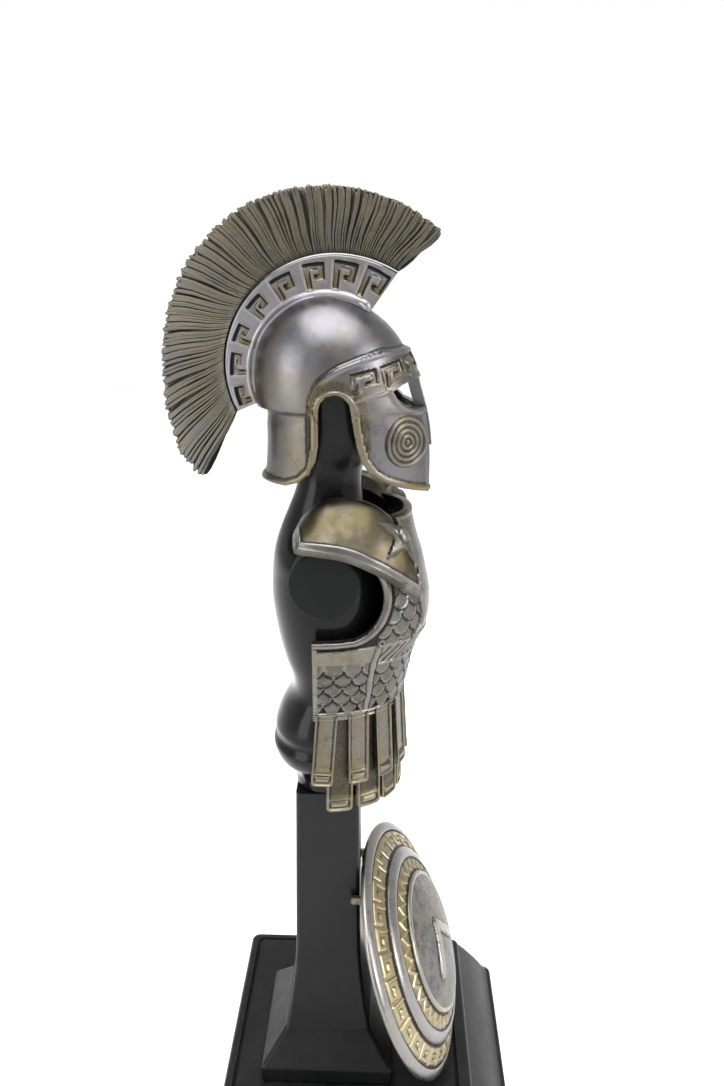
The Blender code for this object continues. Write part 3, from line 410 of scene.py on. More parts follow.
def shell_faces(rows, columns, wrap=False):
    """Faces of an outer and an inner grid, joined along their free edges."""
    count = rows * columns
    grid = np.arange(count).reshape(rows, columns)
    if wrap:
        grid = np.hstack([grid, grid[:, :1]])
    edges = [grid[0], grid[-1][::-1]]
    if not wrap:
        edges += [grid[::-1, 0], grid[:, -1]]
    sides = [np.stack([edge[1:], edge[:-1], edge[:-1] + count, edge[1:] + count], -1) for edge in edges]
    outer = grid_faces(rows, columns, wrap)
    inner = grid_faces(rows, columns, wrap, count)[:, ::-1]
    return np.vstack([outer, inner, *sides])


def capped_faces(rows, columns):
    """Faces of a closed loft of rings, with a fan of faces at each end."""
    quads = [tuple(face) for face in grid_faces(rows, columns, True)]
    return [*quads, tuple(range(columns)), tuple(range((rows - 1) * columns, rows * columns))]


def new_mesh(name, points, faces, attributes=None):
    """A closed mesh with its faces out, smooth, and its own values on its points."""
    mesh = bpy.data.meshes.new(name)
    mesh.from_pydata(np.reshape(points, (-1, 3)).tolist(), [], [list(map(int, face)) for face in faces])
    for key, values in (attributes or {}).items():
        layer = mesh.attributes.new(key, "FLOAT", "POINT")
        layer.data.foreach_set("value", np.ravel(values).astype(np.float32))
    work = bmesh.new()
    work.from_mesh(mesh)
    bmesh.ops.recalc_face_normals(work, faces=work.faces)
    work.to_mesh(mesh)
    work.free()
    mesh.shade_smooth()
    return mesh


def new_object(mesh, material=None, sharp=None):
    obj = bpy.data.objects.new(mesh.name, mesh)
    bpy.context.scene.collection.objects.link(obj)
    if material:
        mesh.materials.append(material)
    if sharp:
        mesh.set_sharp_from_angle(angle=math.radians(sharp))
    return obj


def applied(obj):
    """Replaces an object's mesh by its evaluated one, with no modifier left."""
    graph = bpy.context.evaluated_depsgraph_get()
    mesh = bpy.data.meshes.new_from_object(obj.evaluated_get(graph))
    obj.modifiers.clear()
    old = obj.data
    obj.data = mesh
    mesh.name = obj.name
    bpy.data.meshes.remove(old)
    return obj


def boolean(obj, cutters, operation="DIFFERENCE"):
    """Cuts or joins meshes and keeps the object's own point values."""
    tree = KDTree(len(obj.data.vertices))
    for index, vertex in enumerate(obj.data.vertices):
        tree.insert(vertex.co, index)
    tree.balance()
    kept = {}
    for key in ("relief", "tint"):
        if key in obj.data.attributes:
            values = np.empty(len(obj.data.vertices), np.float32)
            obj.data.attributes[key].data.foreach_get("value", values)
            kept[key] = values
    for cutter in cutters:
        modifier = obj.modifiers.new("Cut", "BOOLEAN")
        modifier.operation = operation
        modifier.solver = "EXACT"
        modifier.object = cutter
    applied(obj)
    nearest = [tree.find(vertex.co)[1] for vertex in obj.data.vertices]
    for key, values in kept.items():
        if key in obj.data.attributes:
            obj.data.attributes.remove(obj.data.attributes[key])
        layer = obj.data.attributes.new(key, "FLOAT", "POINT")
        layer.data.foreach_set("value", values[nearest])
    for cutter in cutters:
        bpy.data.objects.remove(cutter)
    return obj


def hand_over(obj, slot, *nodes):
    """Puts a finished piece on the part's one body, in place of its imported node."""
    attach(obj, "root")
    for node in nodes:
        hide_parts(node)


class Wiring:
    """Adds nodes to a tree, with sockets given as values or as other sockets."""

    def __init__(self, tree):
        self.tree = tree

    def add(self, kind, inputs=None, **settings):
        made = self.tree.nodes.new(kind)
        for key, value in settings.items():
            setattr(made, key, value)
        for key, value in (inputs or {}).items():
            if isinstance(value, bpy.types.NodeSocket):
                self.tree.links.new(value, made.inputs[key])
            else:
                made.inputs[key].default_value = value
        return made

    def maths(self, operation, first, second, clamp=False):
        inputs = {0: first, 1: second}
        return self.add("ShaderNodeMath", inputs, operation=operation, use_clamp=clamp).outputs[0]

    def mixed(self, factor, first, second):
        """A colour between two others."""
        inputs = {"Factor": factor, 6: first, 7: second}
        return self.add("ShaderNodeMix", inputs, data_type="RGBA").outputs[2]

    def spread(self, value, low, high, to_low, to_high):
        inputs = {"Value": value, "From Min": low, "From Max": high, "To Min": to_low, "To Max": to_high}
        return self.add("ShaderNodeMapRange", inputs, interpolation_type="SMOOTHSTEP").outputs[0]

    def noise(self, coordinates, scale, detail=4.0, roughness=0.55):
        inputs = {"Vector": coordinates, "Scale": scale, "Detail": detail, "Roughness": roughness}
        return self.add("ShaderNodeTexNoise", inputs).outputs[0]


def rgba(colour):
    return (*colour, 1.0)


def scaled(colour, share):
    return [share * channel for channel in colour]


def start_material(name):
    material = bpy.data.materials.new(name)
    material.use_nodes = True
    wiring = Wiring(material.node_tree)
    shader = material.node_tree.nodes["Principled BSDF"]
    coordinates = wiring.add("ShaderNodeTexCoord").outputs["Object"]
    return material, wiring, shader, coordinates


def antique_metal(name, silver, gold, roughness, wear_and_shade_range, grain, stain=0.5):
    """Cast metal with dark patina in recesses, painted shade where the relief attribute carries it, bright
    edges and two tones that follow the relief.
    """
    patina_and_shade = colours().patina_and_shade
    material, wiring, shader, coordinates = start_material(name)
    relief = wiring.add("ShaderNodeAttribute", attribute_name="relief").outputs["Fac"]
    tint = wiring.add("ShaderNodeAttribute", attribute_name="tint").outputs["Fac"]
    clouds = wiring.noise(coordinates, 95.0, 3.0)
    patches = wiring.noise(coordinates, 330.0, 5.0, 0.62)
    specks = wiring.noise(coordinates, 2600.0, 3.0, 0.6)
    shifted = wiring.maths("ADD", tint, wiring.spread(clouds, 0.30, 0.70, -0.26, 0.26), clamp=True)
    metal = wiring.mixed(shifted, rgba(silver), rgba(gold))
    stained = scaled(gold, 0.52)
    metal = wiring.mixed(wiring.spread(patches, 0.46, 0.74, 0.0, stain), metal, rgba(stained))
    wear_and_shade = wiring.maths("ADD", relief, wiring.spread(patches, 0.25, 0.75, -0.09, 0.09))
    wear_and_shade = wiring.maths("ADD", wear_and_shade, wiring.spread(specks, 0.30, 0.70, -0.05, 0.05))
    # Dark where the relief is low: real patina in recesses, and painted shade where the relief was lowered
    # for it
    free_of_dark = wiring.spread(wear_and_shade, wear_and_shade_range[0], wear_and_shade_range[1], 0.0, 1.0)
    colour = wiring.mixed(free_of_dark, rgba(patina_and_shade), metal)
    bright = [1.25 * channel + 0.02 for channel in silver]
    colour = wiring.mixed(wiring.spread(wear_and_shade, 0.76, 1.05, 0.0, 0.5), colour, rgba(bright))
    wiring.tree.links.new(colour, shader.inputs["Base Color"])
    wiring.tree.links.new(wiring.spread(free_of_dark, 0.0, 1.0, 0.72, 1.0), shader.inputs["Metallic"])
    rough = wiring.maths("ADD", wiring.spread(patches, 0.3, 0.7, roughness - 0.05, roughness + 0.09),
                         wiring.spread(free_of_dark, 0.0, 1.0, 0.20, 0.0))
    wiring.tree.links.new(rough, shader.inputs["Roughness"])
    bumps = wiring.maths("ADD", wiring.maths("MULTIPLY", patches, 0.6), wiring.maths("MULTIPLY", specks, 0.4))
    bump = wiring.add("ShaderNodeBump", {"Strength": grain, "Distance": 0.12 * MM, "Height": bumps})
    wiring.tree.links.new(bump.outputs[0], shader.inputs["Normal"])
    return material


def black_moulding(name, colour, roughness, shine, grain, dust=0.012):
    """Moulded black resin with faint dust, soft rub marks and a fine skin."""
    material, wiring, shader, coordinates = start_material(name)
    clouds = wiring.noise(coordinates, 60.0, 4.0)
    specks = wiring.noise(coordinates, 1500.0, 3.0, 0.6)
    stretched = wiring.add("ShaderNodeMapping", {"Vector": coordinates, "Scale": (1.0, 1.0, 0.12)}).outputs[0]
    rubs = wiring.noise(stretched, 420.0, 5.0, 0.7)
    lighter = [channel + dust for channel in colour]
    shade = wiring.spread(wiring.maths("ADD", wiring.maths("MULTIPLY", clouds, 0.5),
                                       wiring.maths("MULTIPLY", rubs, 0.5)), 0.42, 0.78, 0.0, 0.55)
    wiring.tree.links.new(wiring.mixed(shade, rgba(colour), rgba(lighter)), shader.inputs["Base Color"])
    rough = wiring.maths("ADD", wiring.spread(rubs, 0.3, 0.7, roughness - 0.04, roughness + 0.08),
                         wiring.spread(clouds, 0.3, 0.7, -0.03, 0.03))
    wiring.tree.links.new(rough, shader.inputs["Roughness"])
    shader.inputs["Specular IOR Level"].default_value = shine
    bump = wiring.add("ShaderNodeBump", {"Strength": grain, "Distance": 0.08 * MM, "Height": specks})
    wiring.tree.links.new(bump.outputs[0], shader.inputs["Normal"])
    return material


def instancing_tree(name):
    """Geometry nodes that set a stamp on points, turned and sized by the points' own vectors."""
    tree = bpy.data.node_groups.new(name, "GeometryNodeTree")
    for label, kind, direction in (
        ("Geometry", "NodeSocketGeometry", "INPUT"),
        ("Stamp", "NodeSocketObject", "INPUT"),
        ("Size", "NodeSocketFloat", "INPUT"),
        ("Variation", "NodeSocketFloat", "INPUT"),
        ("Seed", "NodeSocketInt", "INPUT"),
        ("Material", "NodeSocketMaterial", "INPUT"),
        ("Geometry", "NodeSocketGeometry", "OUTPUT"),
    ):
        tree.interface.new_socket(name=label, in_out=direction, socket_type=kind)
    wiring = Wiring(tree)
    given = wiring.add("NodeGroupInput").outputs
    vectors = {}
    for key in ("along", "facing", "extent"):
        made = wiring.add("GeometryNodeInputNamedAttribute", {"Name": key}, data_type="FLOAT_VECTOR")
        vectors[key] = made.outputs[0]
    turn = wiring.add(
        "FunctionNodeAxesToRotation",
        {"Primary Axis": vectors["along"], "Secondary Axis": vectors["facing"]},
        primary_axis="Z",
        secondary_axis="Y",
    ).outputs[0]
    low = wiring.maths("SUBTRACT", 1.0, given["Variation"])
    high = wiring.maths("ADD", 1.0, given["Variation"])
    chance = wiring.add("FunctionNodeRandomValue", {"Seed": given["Seed"]}, data_type="FLOAT")
    tree.links.new(low, chance.inputs[2])
    tree.links.new(high, chance.inputs[3])
    size = wiring.maths("MULTIPLY", given["Size"], chance.outputs[1])
    inputs = {0: vectors["extent"], "Scale": size}
    scale = wiring.add("ShaderNodeVectorMath", inputs, operation="SCALE").outputs[0]
    source = wiring.add("GeometryNodeObjectInfo", {"Object": given["Stamp"]}).outputs["Geometry"]
    placed = wiring.add(
        "GeometryNodeInstanceOnPoints",
        {"Points": given["Geometry"], "Instance": source, "Rotation": turn, "Scale": scale},
    ).outputs[0]
    real = wiring.add("GeometryNodeRealizeInstances", {"Geometry": placed}).outputs[0]
    inputs = {"Geometry": real, "Material": given["Material"]}
    dressed = wiring.add("GeometryNodeSetMaterial", inputs).outputs[0]
    wiring.add("NodeGroupOutput", {"Geometry": dressed})
    return tree


def stamped(name, stamp, material, points, along, facing, extent, variation=0.0, seed=7):
    """A plain mesh of a stamp repeated on points, made with geometry nodes."""
    mesh = bpy.data.meshes.new(name)
    mesh.from_pydata(np.reshape(points, (-1, 3)).tolist(), [], [])
    for key, vectors in (("along", along), ("facing", facing), ("extent", extent)):
        layer = mesh.attributes.new(key, "FLOAT_VECTOR", "POINT")
        layer.data.foreach_set("vector", np.ravel(vectors).astype(np.float32))
    obj = new_object(mesh)
    tree = instancing_tree(name + " nodes")
    modifier = obj.modifiers.new("Repeat", "NODES")
    modifier.node_group = tree
    values = {"Stamp": stamp, "Size": 1.0, "Variation": variation, "Seed": seed, "Material": material}
    for item in tree.interface.items_tree:
        if item.in_out == "INPUT" and item.name in values:
            modifier[item.identifier] = values[item.name]
    applied(obj)
    for key in ("along", "facing", "extent"):
        if key in obj.data.attributes:
            obj.data.attributes.remove(obj.data.attributes[key])
    bpy.data.objects.remove(stamp)
    return obj


def round_cornered(low, high, corner, steps=6):
    """Outline of a box with round corners, from its two far corners."""
    across = (high[0] - corner, low[0] + corner, low[0] + corner, high[0] - corner)
    along = (high[1] - corner, high[1] - corner, low[1] + corner, low[1] + corner)
    points = []
    for quarter in range(4):
        for step in range(steps):
            angle = math.pi / 2 * (quarter + step / (steps - 1))
            x = across[quarter] + corner * math.cos(angle)
            points.append((x, along[quarter] + corner * math.sin(angle)))
    return np.array(points)


def build_base(material):
    half = BASE_HALF
    ledge = BASE_TOP - SLOPE_DROP
    slope = LEDGE_WIDTH + SLOPE_RUN
    small = BASE_ROUND / 2
    rings = [(0.0, small, 0.0), (0.3 * small, 0.3 * small, 0.0), (small, 0.0, 0.0)]
    rings += [(ledge * step / 6, 0.0, 0.0) for step in range(2, 6)]
    for step in range(1, 6):
        angle = math.pi / 2 * step / 5
        rings.append((ledge - small * (1 - math.sin(angle)), 0.0, small * (1 - math.cos(angle))))
    rings += [(ledge + 0.1 * small, 0.0, 0.75 * LEDGE_WIDTH), (ledge + 0.6 * small, 0.0, LEDGE_WIDTH)]
    for share in (0.15, 0.3, 0.45, 0.6, 0.75, 0.85):
        up = ledge + (SLOPE_DROP - BASE_ROUND) * share
        bulge = 0.06 * math.sin(math.pi * share)
        rings.append((up, 0.0, LEDGE_WIDTH + (SLOPE_RUN - BASE_ROUND) * (share - bulge)))
    for step in range(6):
        angle = math.pi / 2 * step / 5
        drop = BASE_ROUND * (1 - math.sin(angle))
        rings.append((BASE_TOP - drop, BASE_ROUND * (1 - math.cos(angle)), slope - BASE_ROUND))
    rings.append((BASE_TOP, RIM_WIDTH, slope))
    for step in range(1, 8):
        share = step / 8
        sunk = GROOVE_DEPTH * math.sin(math.pi * share) ** 0.6
        rings.append((BASE_TOP - sunk, RIM_WIDTH + GROOVE_WIDTH * share, slope))
    rings.append((BASE_TOP, RIM_WIDTH + GROOVE_WIDTH, slope))
    skins = []
    for up, inset, front in rings:
        far = half - inset
        skins.append([(x, y, up) for x, y in round_cornered((-far, front - far), (far, far), BASE_CORNER, 9)])
    mesh = new_mesh("stand_base", skins, capped_faces(len(skins), len(skins[0])))
    hand_over(new_object(mesh, material, 38.0), "stand_satin_black", "base")


def post_half(up):
    """Half width of the post's flat sides at heights over the base's top."""
    foot = PLINTH_HEIGHT + PLINTH_SLOPE_HEIGHT
    slope = np.clip((up - PLINTH_HEIGHT) / PLINTH_SLOPE_HEIGHT, 0.0, 1.0)
    plinth = (PLINTH_WIDTH + (FOOT_WIDTH - PLINTH_WIDTH) * slope) / 2
    rise = np.clip((up - foot) / (POST_HEIGHT - foot), 0.0, 1.0)
    straight = (POST_WIDTH_LOW + (POST_WIDTH_TOP - POST_WIDTH_LOW) * rise) / 2
    flare = np.clip(1 - (up - foot) / FLARE_HEIGHT, 0.0, 1.0)
    shaft = straight + (FOOT_WIDTH - POST_WIDTH_LOW) / 2 * flare**1.7
    return np.where(up <= foot, plinth, shaft)


def build_post(material):
    ups = np.concatenate([np.arange(GAP, 0.040, 0.00025), np.linspace(0.040, POST_HEIGHT, 30)])
    spread = np.arange(-3, 4) * 0.00016
    halves = np.mean([post_half(ups + shift) for shift in spread], axis=0)
    halves -= 0.0003 * (1 - ramp(ups, GAP, GAP + 0.0005))
    rings = []
    for up, half in zip(ups, halves):
        ring = round_cornered((-half, -half), (half, half), 1.15 * POST_CHAMFER)
        rings.append(places(ring[:, 0], ring[:, 1], up))
    mesh = new_mesh("stand_post", rings, capped_faces(len(rings), 24))
    hand_over(new_object(mesh, material, 50.0), "stand_satin_black", "post")


def oval(back, front, half, angles, power):
    """Plan of an egg shape as side and forward arrays, one row for each size."""
    c = np.cos(angles)
    s = np.sin(angles)
    reach = np.where(c > 0, front[:, None], back[:, None])
    side = half[:, None] * np.copysign(np.abs(s) ** (2 / power), s)
    forward = reach * np.copysign(np.abs(c) ** (2 / power), c)
    return side, forward


def build_torso(gloss, matte):
    crown = 0.97 + 0.03 * np.sin(np.linspace(0.1, 1, 14) * math.pi / 2)
    shares = np.concatenate([np.linspace(0, 0.97, 230), crown])
    back, front, half = read_curve(TORSO_STATIONS, shares)
    angles = np.linspace(0, 2 * math.pi, 120, endpoint=False)
    side, forward = oval(back * TORSO_DEPTH, front * TORSO_DEPTH, half * TORSO_WIDTH, angles, 2.2)
    points = places(side, forward, (TORSO_FOOT + shares * TORSO_HEIGHT)[:, None])
    mesh = new_mesh("torso_form_gloss", points, capped_faces(len(shares), len(angles)))
    hand_over(new_object(mesh, gloss), "torso_gloss_black", "torso_form")
    angles = np.linspace(0, 2 * math.pi, 96, endpoint=False)
    profile = [(0.45 * ARM_REACH, 1.0)]
    profile += [(ARM_REACH - 0.0007 * (1 - math.sin(a)), 1 - 0.0007 / ARM_RADIUS * (1 - math.cos(a)))
                for a in np.linspace(0, math.pi / 2, 6)]
    profile += [(ARM_REACH - 0.00012 * (1 - r), r) for r in (0.86, 0.7, 0.45, 0.2, 0.03)]
    stubs = []
    faces = []
    for mirror in (1, -1):
        start = sum(len(part) for part in stubs)
        reach = np.array(profile)[:, 0][:, None]
        radius = np.array(profile)[:, 1][:, None] * ARM_RADIUS
        forward = ARM_FORWARD + radius * np.cos(angles)
        points = places(mirror * reach, forward, ARM_UP + radius * np.sin(angles))
        stubs.append(points.reshape(-1, 3))
        faces += [tuple(start + i for i in face) for face in capped_faces(len(profile), len(angles))]
    mesh = new_mesh("arm_stubs", np.vstack(stubs), faces)
    hand_over(new_object(mesh, matte, 50.0), "torso_gloss_black")


def cuirass_place(turn, share, lift):
    """Side, forward and up on the cuirass: turn from -1 to 1 round the front, share of the height, lift."""
    front, half = read_curve(CUIRASS_STATIONS, share)
    angle = turn * math.pi / 2
    side = (half * CUIRASS_WIDTH + lift) * np.copysign(np.abs(np.sin(angle)) ** 0.88, angle)
    forward = -CUIRASS_BACK + (front * CUIRASS_DEPTH + lift) * np.maximum(np.cos(angle), 0.0) ** 0.92
    return side, forward, CUIRASS_HEM + share * CUIRASS_HEIGHT


def scale_relief(x, y, width, lows, drop):
    """Height and relief, 0 to 1, of overlapping scales in rows whose feet are at the lows."""
    height = np.zeros(np.shape(x))
    relief = np.full(np.shape(x), 0.22)
    free = np.ones(np.shape(x), bool)
    shadow = np.zeros(np.shape(x))
    half = width / 2
    for row, low in enumerate(lows):
        across = (x / width + 0.5 * (row % 2)) % 1.0 - 0.5
        dx = np.abs(across) * width
        below = y < low + drop
        q = np.hypot(dx / half, (y - low - drop) / drop)
        inset = np.where(below, (1 - q) * min(half, drop), half - dx)
        hit = free & (inset > 0) & (y < low + 2.6 * drop)
        slope = 1 - np.clip((y - low) / (2.4 * drop), 0, 1)
        line = bead(inset - 0.17 * MM, 0.19 * MM)
        height = np.where(hit, 0.25 + 0.55 * slope + 0.28 * line, height)
        relief = np.where(hit, 0.36 + 0.16 * slope + 0.24 * line, relief)
        relief = np.where(hit, relief - 0.34 * shadow, relief)
        height = np.where(hit, height - 0.25 * shadow, height)
        shadow = np.maximum(shadow, np.where(free & ~hit, ramp(inset, -0.55 * MM, 0.0), 0.0))
        free &= ~hit
    return height, relief


def armhole_outline():
    """Side view of an armhole, open to the back: forward and up places."""
    low = ARM_UP - ARM_RADIUS - 0.0062
    radius = ARM_RADIUS + 0.0006
    centre = ARM_FORWARD + 0.0043
    outline = [(-CUIRASS_DEPTH, low), (0.4 * centre, low + 0.05 * radius)]
    for step in range(33):
        angle = math.radians(4.25 * step - 80)
        rise = low + 1.19 * radius + 1.12 * radius * math.sin(angle)
        outline.append((centre + radius * math.cos(angle), rise))
    top = outline[-1][1] + 0.6 * radius
    return outline + [(centre + 0.1 * radius, top), (-CUIRASS_DEPTH, top)]


def prism(name, outline, side_from, side_to):
    """A cutter: a side view outline pushed across the figure."""
    outline = np.array(outline)
    rings = [places(side, outline[:, 0], outline[:, 1]) for side in (side_from, side_to)]
    return new_object(new_mesh(name, rings, capped_faces(2, len(outline))))


def cuirass_relief(turn, share, depth):
    """Lift, relief and tint of the breastplate's casting."""
    x = HALF_GIRTH * turn
    y = CUIRASS_HEIGHT * share
    away = np.abs(turn)
    _, forward, up = cuirass_place(turn, share, 0.0)
    fine, fine_relief = scale_relief(x, y, 3.7 * MM, FINE_ROWS, 2.3 * MM)
    wide, wide_relief = scale_relief(x, y, 4.3 * MM, WIDE_ROWS, 3.0 * MM)
    flank = ramp(away, 0.636, 0.642)
    height = toward(wide, fine, flank)
    relief = toward(wide_relief, fine_relief, flank)
    tint = np.full(np.shape(x), 0.18)
    # Pectoral band with slanting cords in front, plain belt behind the strap
    band = soft_band(y, 11.5 * MM, 11.7 * MM, 16.0 * MM, 16.2 * MM) * (1 - flank)
    cords = np.abs(np.sin(math.pi * (np.abs(x) + 0.8 * y) / (2.1 * MM)))
    height = toward(height, 0.15 + 0.55 * cords**0.6, band)
    relief = toward(relief, 0.18 + 0.60 * cords, band)
    belt = soft_band(y, 12.2 * MM, 12.5 * MM, 16.1 * MM, 16.4 * MM) * flank
    height = toward(height, 0.85, belt)
    relief = toward(relief, 0.68, belt)
    tint = toward(tint, 0.45, belt)
    for level in (16.1 * MM, 11.5 * MM):
        line = bead(y - level, 0.5 * MM) * (1 - flank)
        height = np.maximum(height, 1.1 * line)
        relief = np.maximum(relief, 0.70 * line)
    # Smooth breast panel inside the chest band
    band_path = [(turn_at * HALF_GIRTH, share_at * CUIRASS_HEIGHT) for turn_at, share_at in CHEST_BAND]
    band_turn = np.interp(share, [p[1] for p in CHEST_BAND[::-1]], [p[0] for p in CHEST_BAND[::-1]])
    breast = (1 - ramp(away, band_turn - 0.01, band_turn + 0.01)) * ramp(y, 16.2 * MM, 16.6 * MM)
    collar = ramp(y, 31.0 * MM, 31.6 * MM)
    plain = np.maximum(breast, collar)
    height = toward(height, 0.55, plain)
    relief = toward(relief, 0.55, plain)
    tint = toward(tint, 0.40, plain)
    far = distance_to_path(np.abs(x), y, band_path)
    raised = bead(far, 0.75 * MM)
    groove = soft_band(far, 0.7 * MM, 0.9 * MM, 1.0 * MM, 1.35 * MM)
    height = toward(height, 0.0, 0.8 * groove)
    relief = toward(relief, 0.05, groove)
    height = np.maximum(height, 1.7 * raised)
    relief = np.where(raised > 0, 0.45 + 0.5 * raised, relief)
    # Strap down the flank
    strap = np.abs(away - 0.627) * HALF_GIRTH
    on_strap = (y < 16 * MM) * bead(strap, 0.62 * MM)
    dark = (y < 16 * MM) * soft_band(strap, 0.6 * MM, 0.7 * MM, 0.8 * MM, 1.0 * MM)
    relief = toward(relief, 0.05, dark)
    height = np.maximum(height, 1.35 * on_strap)
    relief = np.where(on_strap > 0, 0.42 + 0.5 * on_strap, relief)
    # Rolled armhole rim with a groove outside it
    rim = -edge_distance(forward, up, armhole_outline())
    rolled = bead(rim - 0.75 * MM, 0.80 * MM)
    groove = soft_band(rim, 1.65 * MM, 1.8 * MM, 2.0 * MM, 2.3 * MM)
    reached = (away > 0.45) & (y > 14.5 * MM) & (y < 34 * MM)
    height = np.where(reached, height * (1 - groove), height)
    relief = np.where(reached, toward(relief, 0.04, groove), relief)
    height = np.where(reached & (rim < 1.7 * MM), 0.35 + 1.25 * rolled, height)
    relief = np.where(reached & (rim < 1.7 * MM), 0.32 + 0.46 * rolled, relief)
    tint = np.where(reached & (rim < 1.7 * MM), 0.22, tint)
    # Two cords along the hem
    hem = y < 0.75 * MM
    cords = np.maximum(bead(y - 0.15 * MM, 0.5 * MM), bead(y + 0.85 * MM, 0.5 * MM))
    height = np.where(hem, 0.2 + 1.1 * cords, height)
    relief = np.where(hem, 0.05 + 0.9 * cords, relief)
    collar_edge = (1 - share) * CUIRASS_HEIGHT - 0.45 * MM
    edge = np.maximum(bead((1 - away) * HALF_GIRTH - 0.3 * MM, 0.45 * MM), bead(collar_edge, 0.55 * MM))
    height = np.maximum(height, 0.9 * edge)
    relief = np.maximum(relief, 0.85 * edge)
    return depth * height, relief, tint


def build_breastplate(material, depth):
    turn, share = np.meshgrid(np.linspace(-1, 1, 233), np.linspace(-1.35 * MM / CUIRASS_HEIGHT, 1.0, 190))
    lift, relief, tint = cuirass_relief(turn, share, depth)
    outer = places(*cuirass_place(turn, share, lift))
    inner = places(*cuirass_place(turn, share, -CUIRASS_WALL))
    values = {
        "relief": np.concatenate([relief.ravel(), np.full(relief.size, 0.35)]),
        "tint": np.concatenate([tint.ravel(), np.full(tint.size, 0.6)]),
    }
    mesh = new_mesh("cuirass_plate", np.concatenate([outer, inner]), shell_faces(*turn.shape), values)
    plate = new_object(mesh, material)
    boolean(plate, [prism("armhole_cutter", armhole_outline(), -GUARD_REACH, GUARD_REACH)])
    plate.data.shade_smooth()
    plate.data.set_sharp_from_angle(angle=math.radians(48))
    hand_over(plate, "cuirass_antique_metal", "cuirass")


def strip_stamp(name, width, length, thickness):
    """One hanging strip with a raised border, a recessed panel and a bar at its foot, hanging down from 0."""
    across, down = np.meshgrid(np.linspace(-1, 1, 27), np.linspace(0, 1, 61))
    corner = 0.7 * MM
    fall = down * length
    left = np.clip(fall - (length - corner), 0, corner)
    half = width / 2 - (corner - np.sqrt(np.maximum(corner**2 - left**2, 0)))
    x = across * half
    inset = np.minimum(width / 2 - np.abs(x), length - fall)
    border = 1 - ramp(inset, 0.42 * MM, 0.60 * MM)
    lip = bead(inset - 0.26 * MM, 0.30 * MM)
    foot = length - fall
    bar_box = box_distance(x, foot, (-0.31 * width, 1.0 * MM), (0.31 * width, 2.1 * MM))
    bar = 1 - ramp(bar_box, -0.12 * MM, 0.10 * MM)
    cross = bead(foot - 2.75 * MM, 0.28 * MM)
    height = np.maximum.reduce([0.75 * border + 0.25 * lip, 0.75 * bar, 0.8 * cross])
    wear_and_shade = 0.22 * ramp(fall, length - 4.5 * MM, length - 2.5 * MM)
    relief = np.maximum.reduce([(0.40 + wear_and_shade) * border + 0.30 * lip, 0.95 * bar, 0.75 * cross, 0.40 + wear_and_shade])
    recess = (1 - border) * (1 - ramp(inset, 0.60 * MM, 1.0 * MM))
    recess += (bar_box > 0) * (1 - ramp(bar_box, 0.1 * MM, 0.4 * MM))
    relief = np.where(height < 0.5, relief - 0.26 * np.clip(recess, 0, 1), relief)
    tint = 0.58 + 0.26 * ramp(fall, 0.60 * length, 0.75 * length)
    bend = x**2 / (2 * STRIP_BEND)
    front = np.stack([x, thickness + 0.42 * MM * height - bend, -fall], -1)
    back = np.stack([x, -bend, -fall], -1)
    values = {
        "relief": np.concatenate([relief.ravel(), np.full(relief.size, 0.3)]),
        "tint": np.concatenate([tint.ravel(), np.full(relief.size, 0.6)]),
    }
    mesh = new_mesh(name, np.concatenate([front, back]), shell_faces(*x.shape), values)
    return new_object(mesh, None, 50.0)


def hanging_strips(name, stamp, material, count, length, sink):
    """A row of strips round the hem, each turned to hang along the cuirass."""
    turns = STRIP_PITCH * (np.arange(count) - (count - 1) / 2)
    low = -length / CUIRASS_HEIGHT

    def row(turn, share, part):
        side, forward, up = cuirass_place(turn, np.full(turn.shape, share), sink + STRIP_FLARE * part)
        return places(side, forward - STRIP_SPREAD * part * turn**4, up)

    top = row(turns, 0.0, 0.0)
    foot = row(turns, low, 1.0)
    across = row(turns + 0.02, 0.5 * low, 0.5) - row(turns - 0.02, 0.5 * low, 0.5)
    along = top - foot
    reach = np.linalg.norm(along, axis=1)
    facing = np.cross(along, across)
    facing /= np.linalg.norm(facing, axis=1)[:, None]
    extent = np.stack([np.ones(count), np.ones(count), reach / length], -1)
    outward = top - places(0.0, 0.0, CUIRASS_HEM)
    facing *= np.sign(np.sum(facing * outward, axis=1))[:, None]
    return stamped(name, stamp, material, top, along, facing, extent)


def build_strips(brass, grey, upper_length):
    width = STRIP_PITCH * HALF_GIRTH
    stamp = strip_stamp("upper_strip", 0.66 * width, upper_length, 0.62 * MM)
    upper = hanging_strips("hanging_strips", stamp, brass, STRIP_COUNT, upper_length, 0.0)
    hand_over(upper, "cuirass_antique_metal")
    stamp = strip_stamp("lower_strip", 0.82 * width, UNDER_STRIP_LENGTH, 0.60 * MM)
    lower = hanging_strips("under_strips", stamp, grey, STRIP_COUNT - 1, UNDER_STRIP_LENGTH, -1.15 * MM)
    hand_over(lower, "cuirass_antique_metal")


def guard_place(along, across, drop):
    """Side, forward and up on a shoulder guard, with drop sinking into it."""
    crown_f, crown_u, edge_f, edge_u, out = GUARD_REACH * read_curve(GUARD_STATIONS, along)
    neck = (GUARD_NECK, crown_f - 0.25 * GUARD_THICKNESS, crown_u - 0.6 * GUARD_THICKNESS)
    crown = (GUARD_NECK + (GUARD_REACH - GUARD_NECK) * 0.42, crown_f, crown_u)
    edge = (out, edge_f, edge_u)
    point = []
    for k, inward in enumerate((-0.5, -0.35, -0.8)):
        middle = 2 * crown[k] - 0.5 * (neck[k] + edge[k])
        at = (1 - across) ** 2 * neck[k] + 2 * across * (1 - across) * middle + across**2 * edge[k]
        point.append(at + inward / 1.0062 * drop)
    return point[0], point[1], CUIRASS_TOP + point[2]


